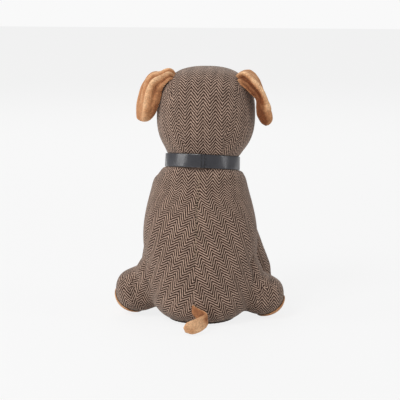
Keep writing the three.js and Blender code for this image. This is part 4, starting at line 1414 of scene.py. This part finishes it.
def stitched(name, line, spacing, thread_path, thread_width, turn_by, material, seed):
    """Stitches along a line, each the given three-point path of thread, turned at random up to an angle"""
    tree = bpy.data.node_groups.new(name, "GeometryNodeTree")
    sockets = tree.interface
    sockets.new_socket("Line", in_out="INPUT", socket_type="NodeSocketGeometry")
    sizes = [
        (sockets.new_socket(size, in_out="INPUT", socket_type="NodeSocketFloat").identifier, value)
        for size, value in (("Stitch spacing", spacing), ("Thread width", thread_width))
    ]
    sockets.new_socket("Stitches", in_out="OUTPUT", socket_type="NodeSocketGeometry")
    given = add(tree, "NodeGroupInput")
    curve = add(tree, "GeometryNodeMeshToCurve", given)
    length = given.outputs["Stitch spacing"]
    spots = add(tree, "GeometryNodeResampleCurve", curve, mode="LENGTH", Length=length)
    tangent = add(tree, "GeometryNodeInputTangent")
    along = add(tree, "FunctionNodeAlignRotationToVector", axis="X", Vector=tangent)
    start, middle, end = thread_path
    path = add(tree, "GeometryNodeCurveQuadraticBezier", Resolution=6, Start=start, Middle=middle, End=end)
    half = add(tree, "ShaderNodeMath", given.outputs["Thread width"], 0.5, operation="MULTIPLY")
    section = add(tree, "GeometryNodeCurvePrimitiveCircle", mode="RADIUS", Resolution=6, Radius=half)
    thread = add(tree, "GeometryNodeCurveToMesh", Curve=path, Profile_Curve=section, Fill_Caps=True)
    placed = add(tree, "GeometryNodeInstanceOnPoints", Points=spots, Instance=thread, Rotation=along)
    least = [-angle for angle in turn_by]
    chance = add(tree, "FunctionNodeRandomValue", least, turn_by, data_type="FLOAT_VECTOR", Seed=seed)
    loose = add(tree, "GeometryNodeRotateInstances", Instances=placed, Rotation=chance)
    real = add(tree, "GeometryNodeRealizeInstances", loose)
    add(tree, "NodeGroupOutput", add(tree, "GeometryNodeSetMaterial", Geometry=real, Material=material))
    mesh = bpy.data.meshes.new(name)
    mesh.from_pydata([tuple(p) for p in line], [(i, i + 1) for i in range(len(line) - 1)], [])
    made = bpy.data.objects.new(name, mesh)
    scene.collection.objects.link(made)
    sewing = made.modifiers.new("sewing", "NODES")
    sewing.node_group = tree
    for identifier, value in sizes:
        sewing[identifier] = value
    result = bpy.data.meshes.new_from_object(made.evaluated_get(bpy.context.evaluated_depsgraph_get()))
    made.modifiers.remove(sewing)
    made.data = result
    result.name = name
    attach(made, "root")
    return made


def waxed_thread(name, dark, pale):
    """Polyester sewing thread, three plies twisted together and waxed: a slight sheen"""
    made = bpy.data.materials.new(name)
    tree = shader_tree(made)
    place = add(tree, "ShaderNodeTexCoord").outputs["Object"]
    ply = add(tree, "ShaderNodeTexNoise", Vector=place, Scale=1.5 / mm, Detail=2.0)
    tone = add(tree, "ShaderNodeMix", ply, linear(dark), linear(pale), data_type="RGBA")
    shader = add(tree, "ShaderNodeBsdfPrincipled", Base_Color=tone, Roughness=0.6)
    add(tree, "ShaderNodeOutputMaterial", shader)
    return made


pale_thread = waxed_thread("pale_waxed_thread", "#8C745F", "#C9B098")
lengths = np.concatenate([[0], np.cumsum(np.linalg.norm(np.diff(spine_line, axis=0), axis=1))])
hand_closed = spine_line[(lengths > closing_from) & (lengths < closing_to)] + [0, 0.1 * mm, 0]
ladder = [(0.6 * mm, -0.5 * mm, -1.7 * mm), (0, 0.9 * mm, 0), (-0.6 * mm, -0.5 * mm, 1.7 * mm)]
ladder_turn = (0.3, 0.7, 0.3)
ladder_look = (spine_thread, ladder_turn, pale_thread)
spine_stitches = stitched("thread_spine", hand_closed, lump_spacing, ladder, *ladder_look, seed=4)
base_edge = under[int(0.93 * base_rings)] + [0, 0, 0.1 * mm]
base_edge = np.concatenate([base_edge, base_edge[:1]])
whip = [(-1.5 * mm, 0, 0.5 * mm), (0, 0, -0.5 * mm), (1.5 * mm, 0, 0.5 * mm)]
whip_turn = (0, 0, 0.08)
whip_look = (spine_thread, whip_turn, pale_thread)
base_stitches = stitched("thread_base", base_edge, stitch_length, whip, *whip_look, seed=5)

# The collar's rows of black thread, thick and overlapping, are partly real stitches and partly a painted
# shadow line at the lap's end
lap_rows = (math.radians(93), math.radians(97.6))
lap_stitch = [(-1.5 * mm, -0.35 * mm, 0), (0, 0.6 * mm, 0), (1.5 * mm, -0.35 * mm, 0)]
lap_turn_by = (0.1, 0.1, 0.22)
lap_look = (lap_thread_and_shadow_width, lap_turn_by, waxed_thread("black_waxed_thread", "#0B0A0C", "#1D1B20"))
lap_heights = np.linspace(-0.42, 0.42, 12)[:, None] * collar_width
for number, row_angle in enumerate(lap_rows, start=1):
    nearest = int(np.argmin(np.abs(strap_angles - 2 * math.pi - row_angle)))
    outward = math.cos(row_angle) * side_axis + math.sin(row_angle) * front_axis
    row_line = neck_centre + (out_to[nearest, 0] + 0.05 * mm) * outward + lap_heights * neck_axis
    name = f"thread_collar_{number}"
    lap_stitches = stitched(name, row_line, lap_stitch_length, lap_stitch, *lap_look, seed=6 + number)
